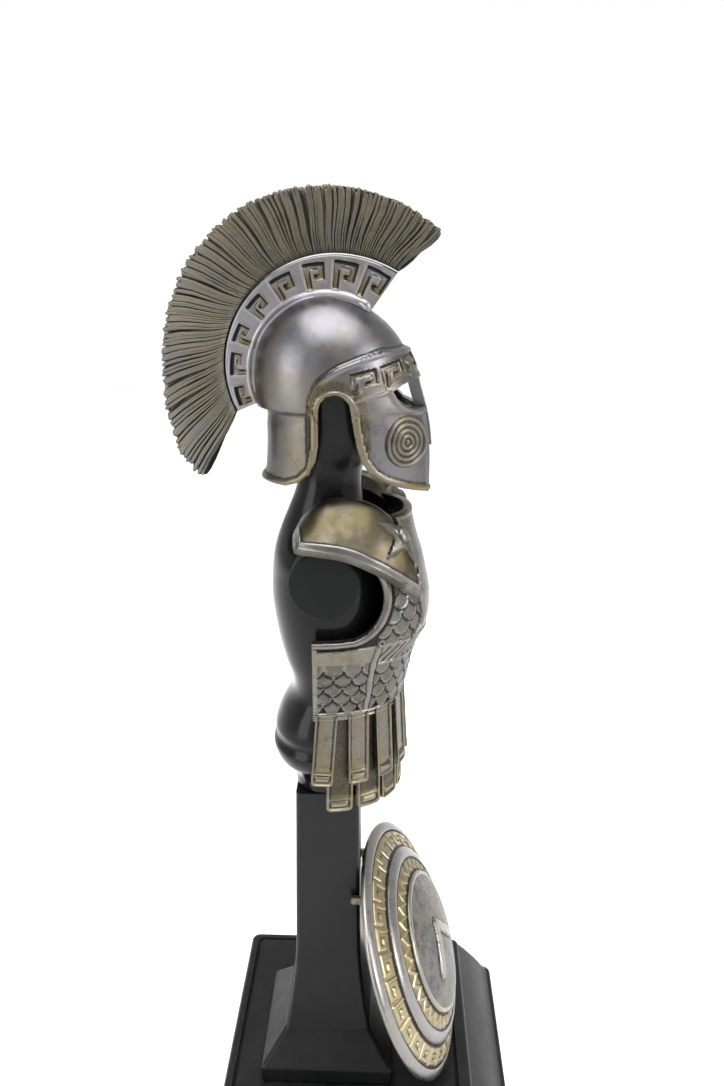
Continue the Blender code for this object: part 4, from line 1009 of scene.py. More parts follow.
def star_height(x, y):
    """A faceted five pointed star with a boss: height 0 to 1 and relief, for offsets in star radii."""
    angle = np.arctan2(y, x)
    radius = np.hypot(x, y)
    sector = np.abs((angle / (2 * math.pi) * 5) % 1.0 - 0.5) * 2
    turned = (1 - sector) * math.pi / 5
    tip = np.array((1.0, 0.0))
    notch = 0.40 * np.array((math.cos(math.pi / 5), math.sin(math.pi / 5)))
    px = radius * np.cos(turned)
    py = radius * np.sin(turned)
    edge = notch - tip
    normal = np.array((edge[1], -edge[0])) / np.hypot(*edge)
    inset = -((px - tip[0]) * normal[0] + (py - tip[1]) * normal[1])
    body = np.clip(inset / 0.30, 0, 1)
    ridge = 1 - ramp(np.abs(py), 0.0, 0.10)
    boss = np.sqrt(np.clip(1 - (radius / 0.26) ** 2, 0, 1))
    height = np.maximum(np.where(inset > 0, 0.25 + 0.60 * body, 0), 0.55 + 0.5 * boss)
    height = np.where((inset > 0) | (boss > 0), height, 0)
    relief = np.where(inset > 0, 0.62 + 0.38 * ridge * body, 0.5)
    relief = np.where(np.abs(radius - 0.28) < 0.035, 0.12, relief)
    relief = np.where((inset < 0) & (inset > -0.10), 0.24, relief)
    relief = np.where(boss > 0.4, 1.0, relief)
    return height, relief


def build_guards(material, depth):
    rows = 130
    columns = 84
    along, across = np.meshgrid(np.linspace(0, 1, rows), np.linspace(0, 1, columns), indexing="ij")
    place = np.array(guard_place(along, across, 0.0))

    def distance_from(line_along, line_across):
        line = np.array(guard_place(line_along + 0 * along, line_across + 0 * across, 0.0))
        return np.sqrt(np.sum((place - line) ** 2, axis=0))

    edges = np.minimum(distance_from(along, 1.0), distance_from(0.0, across))
    rim = np.minimum(edges, distance_from(1.0, across) + 0.2 * MM)
    rolled = bead(rim - 1.15 * MM, 0.62 * MM)
    outer = 1 - ramp(rim, 0.45 * MM, 0.65 * MM)
    groove = soft_band(rim, 1.7 * MM, 1.85 * MM, 2.0 * MM, 2.5 * MM)
    height = np.maximum(1.25 * rolled, 0.55 * outer)
    relief = np.full(rim.shape, 0.60)
    relief = toward(relief, 0.10, groove)
    relief = np.where(rim < 1.75 * MM, 0.42 + 0.53 * rolled, relief)
    relief = toward(relief, 0.22, soft_band(rim, 0.44 * MM, 0.5 * MM, 0.5 * MM, 0.62 * MM))
    tint = np.where(rim < 1.8 * MM, 0.15, 0.85)

    def spot(at_along, at_across):
        return np.array(guard_place(np.array([at_along]), np.array([at_across]), 0.0)).ravel()

    centre = spot(0.82, 0.50)
    ahead = spot(0.92, 0.50) - centre
    ahead /= np.linalg.norm(ahead)
    out = spot(0.82, 0.60) - centre
    out -= ahead * np.dot(out, ahead)
    out /= np.linalg.norm(out)
    offset = np.moveaxis(place, 0, -1) - centre
    angle = math.radians(150)
    first = offset @ (ahead * math.cos(angle) + out * math.sin(angle)) / STAR_RADIUS
    second = offset @ (out * math.cos(angle) - ahead * math.sin(angle)) / STAR_RADIUS
    star, star_relief = star_height(first, second)
    near = np.linalg.norm(offset, axis=-1) < 1.12 * STAR_RADIUS
    height = np.where(near & (star > 0), np.maximum(height, 2.6 * star), height)
    relief = np.where(near & ((star > 0) | (star_relief < 0.2)), star_relief, relief)
    tint = np.where(near & (star > 0), 0.34, tint)
    points = []
    faces = []
    values = {"relief": [], "tint": []}
    for mirror in (1, -1):
        top_side, top_forward, top_up = guard_place(along, across, -depth * height)
        low_side, low_forward, low_up = guard_place(along, across, GUARD_THICKNESS)
        start = len(points) * rows * columns
        points.append(places(mirror * top_side, top_forward, top_up))
        points.append(places(mirror * low_side, low_forward, low_up))
        faces.append(shell_faces(rows, columns) + start)
        values["relief"] += [relief, np.full(relief.shape, 0.35)]
        values["tint"] += [tint, np.full(tint.shape, 0.7)]
    values = {key: np.array(parts) for key, parts in values.items()}
    mesh = new_mesh("shoulder_guards", np.array(points), np.vstack(faces), values)
    hand_over(new_object(mesh, material, 50.0), "cuirass_antique_metal")


def helmet_profile(shares):
    """Back, front and half width of the helmet at heights in bowl radii, smooth over the bowl."""
    fade = np.where(shares > 0.30, np.sqrt(np.clip(1 - shares**2, 0, 1)) / math.sqrt(1 - 0.09), 1.0)
    back, front, half = read_curve(HELMET_STATIONS, shares) * fade
    front = front * fade**0.3
    return back, front, half


def helmet_place(share, angle, lift):
    """World points of the helmet's surface."""
    window = np.array([-0.10, -0.05, 0.0, 0.05, 0.10])
    soft = soft_band(share, -0.15, 0.05, 0.75, 0.9)
    plain = helmet_profile(share)
    smooth = np.mean([helmet_profile(np.clip(share + shift, -1.64, 0.99999)) for shift in window], axis=0)
    back, front, half = [a + (b - a) * soft for a, b in zip(plain, smooth)]
    c = np.cos(angle)
    s = np.sin(angle)
    prow = np.where(c > 0, 1 + 0.12 * (1 - ramp(share, 0.0, 0.5)), 1.0)
    reach = np.where(c > 0, front * HELMET_FRONT, back * BOWL_RADIUS) + lift
    width = half * BOWL_WIDTH + lift
    side = width * np.copysign(np.abs(s) ** prow, s)
    return side, reach * c, HELMET_CENTRE + share * BOWL_RADIUS


def on_helmet(points):
    """Side view places in bowl radii as forward and up."""
    return [(forward * BOWL_RADIUS, HELMET_CENTRE + up * BOWL_RADIUS) for forward, up in points]


def helmet_relief(side, forward, up, around):
    """Lift, relief and tint of the helmet's casting; around is the distance round from the front."""
    height = (up - HELMET_CENTRE) / BOWL_RADIUS
    visor = edge_distance(forward, up, on_helmet(VISOR_OUTLINE))
    under = -edge_distance(forward, up, on_helmet(UNDER_EDGE))
    raised = ramp(visor, -0.10 * MM, 0.25 * MM)
    lift = VISOR_LIFT * raised
    relief = 0.56 - 0.15 * (1 - ramp(height, -0.48, -0.44))
    tint = 0.12 + 0.26 * (1 - ramp(height, -0.5, 0.3))
    step = soft_band(visor, -0.9 * MM, -0.35 * MM, -0.3 * MM, -0.05 * MM)
    relief = toward(relief, 0.10, step)
    line = bead(visor - 0.45 * MM, 0.5 * MM)
    tint = toward(tint, 0.10, raised)
    cheek = ramp(forward, 7 * MM, 9 * MM) * (1 - ramp(height, -0.42, -0.30))
    relief = toward(relief, 0.39, cheek)
    relief = np.where(line > 0, 0.45 + 0.4 * line, relief)
    lift += 0.30 * MM * line
    # Brow band with recessed hooks and painted shade on the upper side of each hook
    low = np.interp(forward, *np.transpose(BROW_LOW))
    high = np.interp(forward, *np.transpose(BROW_HIGH))
    share = (up - low) / (high - low)
    pitch = 6.7 * MM
    wide = 5.5 * MM
    tall = 4.3 * MM
    along = around - 0.2 * MM
    index = np.floor(along / pitch)
    left = pitch - (along - index * pitch)
    hook = hook_distance(left - 0.5 * MM, share * tall, wide, tall, 1.05 * MM)
    in_band = (index >= 0) & (index < 3) & (visor > 1.0 * MM) & (forward > 4.5 * MM)
    cut = (1 - ramp(hook, -0.14 * MM, 0.10 * MM)) * in_band
    rim = bead(hook - 0.22 * MM, 0.20 * MM) * in_band
    lift -= 0.42 * MM * cut
    lift += 0.10 * MM * rim
    relief = toward(relief, 0.46, cut)
    # Painted shade on the upper side of each hook, where a copy of the hook shifted down does not reach
    free_of_dark = hook_distance(left - 0.3 * MM, share * tall + 0.50 * MM, wide, tall, 1.05 * MM)
    shade = (1 - ramp(hook, 0.0, 0.22 * MM)) * ramp(free_of_dark, -0.15 * MM, 0.18 * MM) * in_band
    relief = toward(relief, 0.0, shade)
    relief = np.where(rim * (1 - cut) * (1 - shade) > 0.3, 0.70, relief)
    tint = np.where(in_band & (share > -0.1) & (share < 1.15), 0.30 + 0.45 * cut, tint)
    # Bead under the brow band
    band_line = np.where((forward > 6.0 * MM) & (visor > 0.5 * MM), np.abs(up - low + 0.75 * MM), 1.0)
    brow = bead(band_line, 0.40 * MM)
    lift += 0.28 * MM * brow
    relief = np.where(brow > 0.1, 0.5 + 0.42 * brow, relief)
    # Rim round the ear arch and a darker brass band outside it
    arch = np.hypot(forward - 0.13 * BOWL_RADIUS, up - (HELMET_CENTRE - 0.39 * BOWL_RADIUS))
    arch_radius = 0.205 * BOWL_RADIUS
    ear = (height > -0.75) & (forward < 7.0 * MM) & (forward > -4 * MM)
    border = raised * (1 - ramp(under, 2.6 * MM, 3.6 * MM)) * (height > -1.1) * (forward < 9 * MM)
    tint = toward(tint, 0.85, border)
    relief = toward(relief, 0.28, border * (brow < 0.05))
    line = bead(arch - arch_radius - 0.40 * MM, 0.42 * MM) * ear
    lift += 0.40 * MM * line
    relief = np.where(line > 0.1, 0.40 + 0.34 * line, relief)
    # Rolled lower edge, eye rims and the edge of each cheek
    rim = np.where(arch > arch_radius + 1.0 * MM, bead(under - 0.55 * MM, 0.62 * MM), 0)
    lift += 0.35 * MM * rim
    groove = soft_band(under, 1.1 * MM, 1.2 * MM, 1.35 * MM, 1.8 * MM) * (arch > arch_radius + 1.6 * MM)
    relief = toward(relief, 0.14, groove)
    relief = np.where(rim > 0.05, 0.40 + 0.36 * rim, relief)
    tint = np.where(under < 1.3 * MM, 0.78, tint)
    eye = -edge_distance(forward, up, on_helmet(EYE_OUTLINE))
    eye_rim = bead(eye - 0.6 * MM, 0.68 * MM) * (np.abs(side) > NOSE_WIDTH / 2)
    eye_rim = np.where(forward > 8 * MM, eye_rim, 0)
    lift += 0.35 * MM * eye_rim
    relief = np.where(eye_rim > 0.05, 0.45 + 0.5 * eye_rim, relief)
    from_gap = np.abs(np.abs(side) - CHEEK_GAP / 2 - 0.6 * MM)
    line = bead(np.where((forward > 12 * MM) & (height < -0.5), from_gap, 1.0), 0.6 * MM)
    lift += 0.30 * MM * line
    relief = np.where(line > 0.05, 0.45 + 0.5 * line, relief)
    # Darker band along the neck guard's step
    neck = np.abs(up - (HELMET_CENTRE - 0.45 * BOWL_RADIUS))
    hollow = (1 - ramp(neck, 0.15 * MM, 1.0 * MM)) * (1 - raised)
    relief = toward(relief, 0.16, 0.8 * hollow)
    return lift, relief, tint


def helmet_heights(low, wall_rows, top_degrees, bowl_rows):
    """Heights of a helmet's rings in bowl radii: even up the wall, then closer towards the crown."""
    bowl = np.sin(np.linspace(math.asin(0.30), math.radians(top_degrees), bowl_rows))
    return np.concatenate([np.linspace(low, 0.30, wall_rows), bowl[1:]])


def helmet_loft(name, shares, columns, lift):
    angle = np.linspace(0, 2 * math.pi, columns, endpoint=False)[None, :] + np.zeros((len(shares), 1))
    share = np.array(shares)[:, None] + np.zeros_like(angle)
    points = places(*helmet_place(share, angle, lift))
    return new_object(new_mesh(name, points, capped_faces(len(shares), columns)))


def build_helmet(material):
    shares = helmet_heights(-1.64, 128, 89, 62)
    columns = 320
    angle = np.linspace(0, 2 * math.pi, columns, endpoint=False)[None, :] + np.zeros((len(shares), 1))
    share = shares[:, None] + np.zeros_like(angle)
    side, forward, up = helmet_place(share, angle, 0.0)
    steps = np.hypot(np.diff(side, axis=1), np.diff(forward, axis=1))
    around = np.concatenate([np.zeros((len(shares), 1)), np.cumsum(steps, axis=1)], axis=1)
    girth = around[:, -1:] + np.hypot(side[:, -1:] - side[:, :1], forward[:, -1:] - forward[:, :1])
    around = np.minimum(around, girth - around)
    lift, relief, tint = helmet_relief(side, forward, up, around)
    points = places(*helmet_place(share, angle, lift))
    values = {"relief": relief, "tint": tint}
    mesh = new_mesh("helmet_shell", points, capped_faces(len(shares), columns), values)
    helmet = new_object(mesh, material)
    hollow = helmet_heights(-1.80, 24, 88, 14) * (BOWL_RADIUS - HELMET_WALL) / BOWL_RADIUS
    cutters = [helmet_loft("helmet_hollow", hollow, 128, -HELMET_WALL)]
    cutters.append(prism("under_edge", on_helmet(UNDER_EDGE), -BOWL_WIDTH, BOWL_WIDTH))
    mouth = on_helmet(((0.9, -0.95), (0.9, -3.0), (2.0, -3.0), (2.0, -0.95)))
    cutters.append(prism("mouth", mouth, -CHEEK_GAP / 2, CHEEK_GAP / 2))
    beside_nose = on_helmet(((0.9, -0.22), (0.9, -1.0), (2.0, -1.0), (2.0, -0.22)))
    for mirror in (1, -1):
        cutters.append(prism("eye", on_helmet(EYE_OUTLINE), mirror * NOSE_WIDTH / 2, mirror * BOWL_WIDTH))
        cutters.append(prism("nose_slit", beside_nose, mirror * NOSE_WIDTH / 2, mirror * CHEEK_GAP / 2))
    boolean(helmet, cutters)
    helmet.data.shade_smooth()
    helmet.data.set_sharp_from_angle(angle=math.radians(50))
    hand_over(helmet, "helmet_pewter", "helmet")


def build_roundels(material):
    """The ringed bosses on the cheeks."""
    rows = [(1.02, -1.6, 0.3), (1.0, 0.1, 0.2)]
    for share in np.linspace(1.0, 0.02, 50):
        wave = 0.5 + 0.5 * math.cos((1.0 - share) * 2 * math.pi * 4.6 + math.pi)
        rows.append((0.99 * share, 0.25 + 0.42 * wave**0.8 + 0.25 * (1 - share), 0.20 + 0.50 * wave))
    profile = np.array(rows)
    turns = np.linspace(0, 2 * math.pi, 96, endpoint=False)
    points = []
    faces = []
    relief = []
    for mirror in (1, -1):
        up = HELMET_CENTRE - 0.83 * BOWL_RADIUS
        centre = places(mirror * 0.300 * BOWL_WIDTH, 0.775 * HELMET_FRONT, up)
        normal = Vector((mirror * 0.80, -0.60, 0.03)).normalized()
        across = Vector((0, 0, 1)).cross(normal).normalized()
        rise = normal.cross(across)
        start = len(points) * len(turns)
        ring = np.cos(turns)[:, None] * np.array(across) + np.sin(turns)[:, None] * np.array(rise)
        for radius, height, wear_and_shade in profile:
            points.append(centre + ring * radius * BOSS_RADIUS + np.array(normal) * height * 0.8 * MM)
            relief.append(np.full(len(turns), wear_and_shade))
        faces += [tuple(start + i for i in face) for face in capped_faces(len(profile), len(turns))]
    values = {"relief": np.array(relief), "tint": np.full(np.array(relief).shape, 0.55)}
    mesh = new_mesh("cheek_roundels", np.array(points), faces, values)
    hand_over(new_object(mesh, material, 60.0), "helmet_pewter")


def ridge_radius(angle):
    t = np.clip((angle - CREST_ROOT[0]) / (CREST_ROOT[1] - CREST_ROOT[0]), 0.0, 1.0)
    return RIDGE_FRONT_RADIUS + (RIDGE_BACK_RADIUS - RIDGE_FRONT_RADIUS) * t**0.8


def around_bowl(side, angle, radius):
    return places(side, radius * np.cos(angle), HELMET_CENTRE + radius * np.sin(angle))


def build_ridge(material):
    """The plate that carries the crest, with recessed hooks, painted shadow on the upper side of each hook's
    recess, and a fillet onto the bowl.
    """
    angle, out = np.meshgrid(np.linspace(*CREST_ROOT, 560), np.linspace(0, 1, 46), indexing="ij")
    foot = BOWL_RADIUS - 0.9 * MM
    top = ridge_radius(angle)
    radius = foot + (top - foot) * out
    degrees = np.degrees(angle)
    relief = np.full(angle.shape, 0.64)
    cut = np.zeros(angle.shape)
    lip = np.zeros(angle.shape)
    dark = np.zeros(angle.shape)
    shift = 0.62 * MM
    below_hook = 1 - ramp(out, 0.45, 0.8)
    middle = 20.0 * MM
    low = BOWL_RADIUS + 1.2 * MM
    height = top - 1.25 * MM - low
    for start, end in RIDGE_HOOKS:
        width = math.radians(end - start) * middle
        x = np.radians(end - degrees) * middle
        tall = float(np.interp((start + end) / 2, degrees[:, 0], height[:, 0]))
        hook = hook_distance(x, radius - low, width, tall, 1.15 * MM)
        cut = np.maximum(cut, 1 - ramp(hook, -0.22 * MM, 0.14 * MM))
        # Painted shadow on the upper side of each hook's recess, where a copy of the hook shifted towards the
        # bowl does not reach
        free_of_dark = hook_distance(x + 0.6 * shift, radius - low + shift, width, tall, 1.15 * MM)
        shadow = (1 - ramp(hook, 0.0, 0.25 * MM)) * ramp(free_of_dark, -0.15 * MM, 0.20 * MM)
        dark = np.maximum(dark, shadow)
        lip = np.maximum(lip, bead(hook - 0.25 * MM, 0.24 * MM))
    relief = toward(relief, 0.42, cut)
    # The painted shadow darkens the upper side of each recess
    relief = toward(relief, 0.0, dark)
    relief = np.where((lip > 0.3) & (cut < 0.3) & (dark < 0.2), 0.62 + 0.30 * below_hook, relief)
    top_line = bead(top - radius - 0.45 * MM, 0.5 * MM)
    relief = np.where(top_line > 0.1, 0.45 + 0.45 * top_line, relief)
    fillet = np.clip(1 - (radius - BOWL_RADIUS + 0.3 * MM) / (1.5 * MM), 0, 1) ** 2
    fillet *= ramp(angle - CREST_ROOT[0], 0.0, 0.12)
    half = RIDGE_THICKNESS / 2 - 0.5 * MM * cut + 0.08 * MM * lip + 1.3 * MM * fillet
    half = half - 0.35 * MM * (1 - ramp(top - radius, 0.0, 0.25 * MM))
    near = around_bowl(half, angle, radius)
    far = around_bowl(-half, angle, radius)
    tint = np.full(angle.shape, 0.06)
    tint = np.where((cut > 0.3) | (lip > 0.3), 0.25 + 0.65 * below_hook, tint)
    values = {"relief": np.array([relief, relief]), "tint": np.array([tint, tint])}
    mesh = new_mesh("helmet_ridge", np.array([near, far]), shell_faces(*angle.shape), values)
    hand_over(new_object(mesh, material, 50.0), "helmet_pewter")


def crest_place(along, out, half_share):
    """World points in the crest: along from front to tail, out from root to tip, across by its half width."""
    root_angle = CREST_ROOT[0] + (CREST_ROOT[1] - CREST_ROOT[0]) * along
    tip_angle = CREST_TIP[0] + (CREST_TIP[1] - CREST_TIP[0]) * along
    angle = root_angle + (tip_angle - root_angle) * out**1.25
    root = ridge_radius(root_angle) + GAP
    tip = CREST_RADIUS * read_curve(CREST_STATIONS, along)[0]
    half = (RIDGE_THICKNESS + (CREST_THICKNESS_TIP - RIDGE_THICKNESS) * out) / 2
    return around_bowl(half_share * half, angle, root + (tip - root) * out)


def lock_stamp():
    """One tapered lock of hair, a unit long, with a ridge along its face and dark flanks."""
    profile = (
        (0.0, 0.46, 0.50), (0.14, 0.53, 0.70), (0.32, 0.64, 0.90), (0.52, 0.76, 1.0),
        (0.74, 0.92, 0.95), (0.90, 0.98, 0.80), (0.965, 0.82, 0.60), (1.0, 0.45, 0.25),
    )
    section = (
        (-0.5, 0.0, 0.05), (-0.32, 0.52, 0.45), (-0.12, 0.80, 0.86), (0.02, 0.70, 0.62), (0.14, 0.78, 0.84),
        (0.32, 0.50, 0.42), (0.5, 0.0, 0.05), (0.2, -0.5, 0.1), (-0.2, -0.5, 0.1),
    )
    points = []
    relief = []
    for along, width, thick in profile:
        sway = 0.20 * math.sin(6.4 * along)
        for x, y, wear_and_shade in section:
            points.append((x * width + sway, y * thick, along))
            relief.append(wear_and_shade + 0.10 * along)
    values = {"relief": np.array(relief), "tint": np.full(len(relief), 0.85)}
    return new_object(new_mesh("lock", points, capped_faces(len(profile), len(section)), values))


def build_crest(hair, count, width):
    along, out = np.meshgrid(np.linspace(0, 1, 240), np.linspace(0, 1, 14), indexing="ij")
    wave = 0.5 + 0.5 * np.sin(along * 2 * math.pi * 60 + 0.5 * np.sin(out * 3))
    along = 0.006 + 0.988 * along
    reach = 0.93 - 0.03 * wave
    near = crest_place(along, out * reach, 0.84 + 0.06 * wave)
    far = crest_place(along, out * reach, -0.84 - 0.06 * wave)
    values = {"relief": np.array([0.20 + 0.25 * wave] * 2), "tint": np.full((2, *along.shape), 0.85)}
    mesh = new_mesh("crest_body", np.array([near, far]), shell_faces(*along.shape), values)
    hand_over(new_object(mesh, hair), "crest_antique_bronze", "crest_plume")
    chance = np.random.default_rng(11)
    rows = []
    for row, half_share in enumerate((-0.86, -0.45, 0.0, 0.45, 0.86)):
        place_along = (np.arange(count) + 0.5 + 0.5 * (row % 2)) / (count + 0.5)
        place_along = np.clip(place_along + chance.normal(0, 0.0010, count), 0.004, 0.996)
        layer = np.where(np.arange(count) % 3 == 0, 0.955, 1.0) - chance.uniform(0, 0.035, count)
        at_end = (place_along < 0.03) | (place_along > 0.97)
        root_out = np.where(at_end | (abs(half_share) > 0.8), 0.0, 0.55)
        root = crest_place(place_along, root_out, half_share * 0.96)
        lean = chance.normal(0, 0.004, count)
        tip = crest_place(np.clip(place_along + lean, 0.0, 1.0), layer, half_share)
        direction = tip - root
        length = np.linalg.norm(direction, axis=1)
        face = np.array((1.0 if half_share >= 0 else -1.0, 0.0, 0.0)) + np.zeros((count, 3))
        wide = width * (0.92 + 0.3 * chance.uniform(0, 1, count)) * np.where(abs(half_share) > 0.8, 1.0, 1.25)
        rows.append((root, direction, face, np.stack([wide, 0.62 * wide, length], -1)))
    locks = stamped("crest_locks", lock_stamp(), hair, *(np.vstack(parts) for parts in zip(*rows)))
    spots = np.empty(3 * len(locks.data.vertices), np.float32)
    locks.data.vertices.foreach_get("co", spots)
    spots = spots.reshape(-1, 3)
    turned = np.degrees(np.arctan2(spots[:, 2] - BASE_TOP - HELMET_CENTRE, POST_SET_BACK - spots[:, 1])) % 360
    wear_and_shade = np.empty(len(spots), np.float32)
    locks.data.attributes["relief"].data.foreach_get("value", wear_and_shade)
    # Locks darker towards the front of the crest and lighter towards its tail
    wear_and_shade = wear_and_shade * (0.74 + 0.34 * ramp(turned, 95.0, 165.0))
    locks.data.attributes["relief"].data.foreach_set("value", wear_and_shade)
    hand_over(locks, "crest_antique_bronze")


def shield_matrix():
    """From the shield's own frame, dome towards +Z, to where it leans on the post."""
    lean = Matrix.Rotation(math.pi / 2 - SHIELD_LEAN, 4, "X")
    turn = Matrix.Rotation(-SHIELD_TURN, 4, "Z")
    forward = float(post_half(np.array(SHIELD_TOP))) + SHIELD_STANDOFF + SHIELD_RADIUS * math.sin(SHIELD_LEAN)
    centre = places(0.0, forward, (SHIELD_TOP + 2 * GAP) / 2)
    return np.array(Matrix.Translation(Vector(centre)) @ turn @ lean)


def shield_height(share):
    disc = SHIELD_DISC_SHARE
    rise = SHIELD_CENTRE_RISE * (1 - np.minimum(share / disc, 1.0) ** 2)
    return SHIELD_DOME * (1 - np.maximum(share, disc) ** SHIELD_FULLNESS) + rise


def shield_relief(share, turn, count):
    """Lift, relief and tint of the shield's rings, meander, zigzag and chevron."""
    radius = share * SHIELD_RADIUS
    rim = bead((share - 0.962) / 0.040, 1.0)
    ring = bead((share - 0.720) / 0.048, 1.0)
    lift = np.full(share.shape, -0.35)
    relief = np.full(share.shape, 0.46)
    tint = np.full(share.shape, 0.95)
    x = turn / (2 * math.pi) * count
    pitch = 2 * math.pi * 0.845 * SHIELD_RADIUS / count
    meander = (share > 0.775) & (share < 0.918)
    out = (share - 0.787) * SHIELD_RADIUS
    hook = hook_distance((x % 1.0) * pitch, out, 0.86 * pitch, 0.118 * SHIELD_RADIUS, 0.95 * MM)
    on = (1 - ramp(hook, -0.10 * MM, 0.13 * MM)) * meander
    lift += 0.75 * on
    relief = toward(relief, 0.78, on)
    shade = (1 - ramp(hook, 0.1 * MM, 0.55 * MM)) * (1 - on) * meander
    relief -= 0.26 * shade
    teeth = 2 * np.abs((turn / (2 * math.pi) * 34) % 1.0 - 0.5)
    line = np.abs(radius - (0.578 + 0.064 * teeth) * SHIELD_RADIUS) * 0.62
    zig = bead(line, 0.40 * MM) * ((share > 0.56) & (share < 0.665))
    lift += 0.62 * zig
    relief = np.where((share > 0.56) & (share < 0.67), 0.34 + 0.4 * zig, relief)
    disc = 1 - ramp(share, 0.545, 0.556)
    lift = toward(lift, 0.55, disc)
    relief = toward(relief, 0.27, disc)
    tint = toward(tint, 0.16, disc)
    edge = bead((share - 0.535) / 0.018, 1.0)
    lift += 0.35 * edge
    relief = np.where(edge > 0.1, 0.55 + 0.35 * edge, relief)
    for bump in (rim, ring):
        lift = np.where(bump > 0, -0.1 + 1.15 * bump, lift)
        relief = np.where(bump > 0, 0.40 + 0.5 * bump, relief)
        tint = np.where(bump > 0, -0.16, tint)
    for gutter in (0.918, 0.775, 0.668, 0.560):
        line = bead((share - gutter) / 0.012, 1.0)
        relief = np.where(line > 0, np.minimum(relief, 0.45 - 0.42 * line), relief)
    px = radius * np.cos(turn)
    py = radius * np.sin(turn)
    half = 7.5 * MM
    rise = 9.0 * MM
    path = [(-half, -rise / 2), (0.0, rise / 2), (half, -rise / 2)]
    chevron = distance_to_path(px, py, path) - 1.45 * MM
    on = 1 - ramp(chevron, -0.35 * MM, 0.05 * MM)
    lift = toward(lift, 1.75, on * (share < 0.5))
    relief = np.where(on > 0.5, 0.44 + 0.3 * bead(chevron + 0.35 * MM, 0.4 * MM), relief)
    # Painted shade in a thin ring just outside the raised chevron, darkest at its edge
    chevron_shade = (chevron > 0) & (chevron < 0.6 * MM) & (share < 0.5)
    relief = np.where(chevron_shade, 0.05 + 0.22 * np.clip(chevron / (0.6 * MM), 0, 1), relief)
    return 0.5 * MM * lift, relief, tint


def build_shield(material, count):
    shares = np.concatenate([np.linspace(0.012, 0.30, 26)[:-1], np.linspace(0.30, 1.0, 112)])
    turns = np.linspace(0, 2 * math.pi, 630, endpoint=False)
    share, turn = np.meshgrid(shares, turns, indexing="ij")
    lift, relief, tint = shield_relief(share, turn, count)
    height = shield_height(share) + lift
    outer = np.stack([share * SHIELD_RADIUS * np.cos(turn), share * SHIELD_RADIUS * np.sin(turn), height], -1)
    back = [(1.0, -0.0002, 0.75), (0.995, -0.0007, 0.6), (0.975, -0.0010, 0.5), (0.945, -0.0009, 0.4)]
    for at, wear_and_shade in ((0.92, 0.3), (0.80, 0.25), (0.55, 0.25), (0.25, 0.25), (0.012, 0.25)):
        back.append((at, float(shield_height(np.array(at))) - SHIELD_WALL, wear_and_shade))
    rings = [outer]
    for at, low, wear_and_shade in back:
        reach = at * SHIELD_RADIUS
        ring = np.stack([reach * np.cos(turns), reach * np.sin(turns), np.full(len(turns), low)], -1)
        rings.append(ring[None])
        relief = np.vstack([relief, np.full((1, len(turns)), wear_and_shade)])
        tint = np.vstack([tint, np.full((1, len(turns)), 0.3)])
    points = np.concatenate(rings)
    matrix = shield_matrix()
    world = points @ matrix[:3, :3].T + matrix[:3, 3]
    values = {"relief": relief, "tint": tint}
    mesh = new_mesh("shield_face", world, capped_faces(len(points), len(turns)), values)
    hand_over(new_object(mesh, material, 50.0), "shield_silver_gold", "shield")


def clip_reach(side, rear, up):
    """Forward place where a clip arm has entered the shield's wall."""
    inverse = np.linalg.inv(shield_matrix())
    for step in range(400):
        forward = rear + 0.0001 * step
        x, y, z = (inverse @ np.append(places(side, forward, up), 1.0))[:3]
        share = math.hypot(x, y) / SHIELD_RADIUS
        if z > float(shield_height(np.array(share))) - 0.6 * SHIELD_WALL:
            return forward
    raise RuntimeError("a clip arm misses the shield")


def build_clips(material):
    """Two arms behind the shield that pass the post on both sides."""
    up = SHIELD_TOP - 0.0082
    beside = float(post_half(np.array(up)))
    rear = beside - 0.0022
    points = []
    faces = []
    for mirror in (1, -1):
        side = mirror * (beside + 0.0014)
        start = len(points) * 24
        front = clip_reach(side, rear, up)
        for forward, shrink in ((rear, 0.0003), (rear + 0.0003, 0.0), (front, 0.0)):
            corner = np.array((0.0008, 0.0009)) - shrink
            ring = round_cornered(-corner, corner, 0.0003)
            points.append(places(side + ring[:, 0], forward, up + ring[:, 1]))
        faces += [tuple(start + i for i in face) for face in capped_faces(3, 24)]
    points = np.array(points)
    values = {"relief": np.full(points.shape[:2], 0.30), "tint": np.full(points.shape[:2], 0.5)}
    mesh = new_mesh("shield_clips", points, faces, values)
    hand_over(new_object(mesh, material, 40.0), "shield_silver_gold")


def build_peg(dark):
    """The round stop on the post behind the shield's top edge."""
    up = SHIELD_TOP - 0.0034
    start = float(post_half(np.array(up))) + GAP
    end = float(post_half(np.array(SHIELD_TOP))) + SHIELD_STANDOFF + 0.0034 * math.tan(SHIELD_LEAN) - 3 * GAP
    turns = np.linspace(0, 2 * math.pi, 48, endpoint=False)
    profile = ((start, 0.8), (start + 0.0002, 1.0), (end - 0.0004, 1.0), (end - 0.0002, 0.94), (end, 0.70))
    rings = []
    for forward, radius in profile:
        rings.append(places(radius * MM * np.cos(turns), forward, up + radius * MM * np.sin(turns)))
    mesh = new_mesh("shield_stop_peg", rings, capped_faces(len(rings), len(turns)))
    hand_over(new_object(mesh, dark, 50.0), "stand_satin_black", "shield_peg")


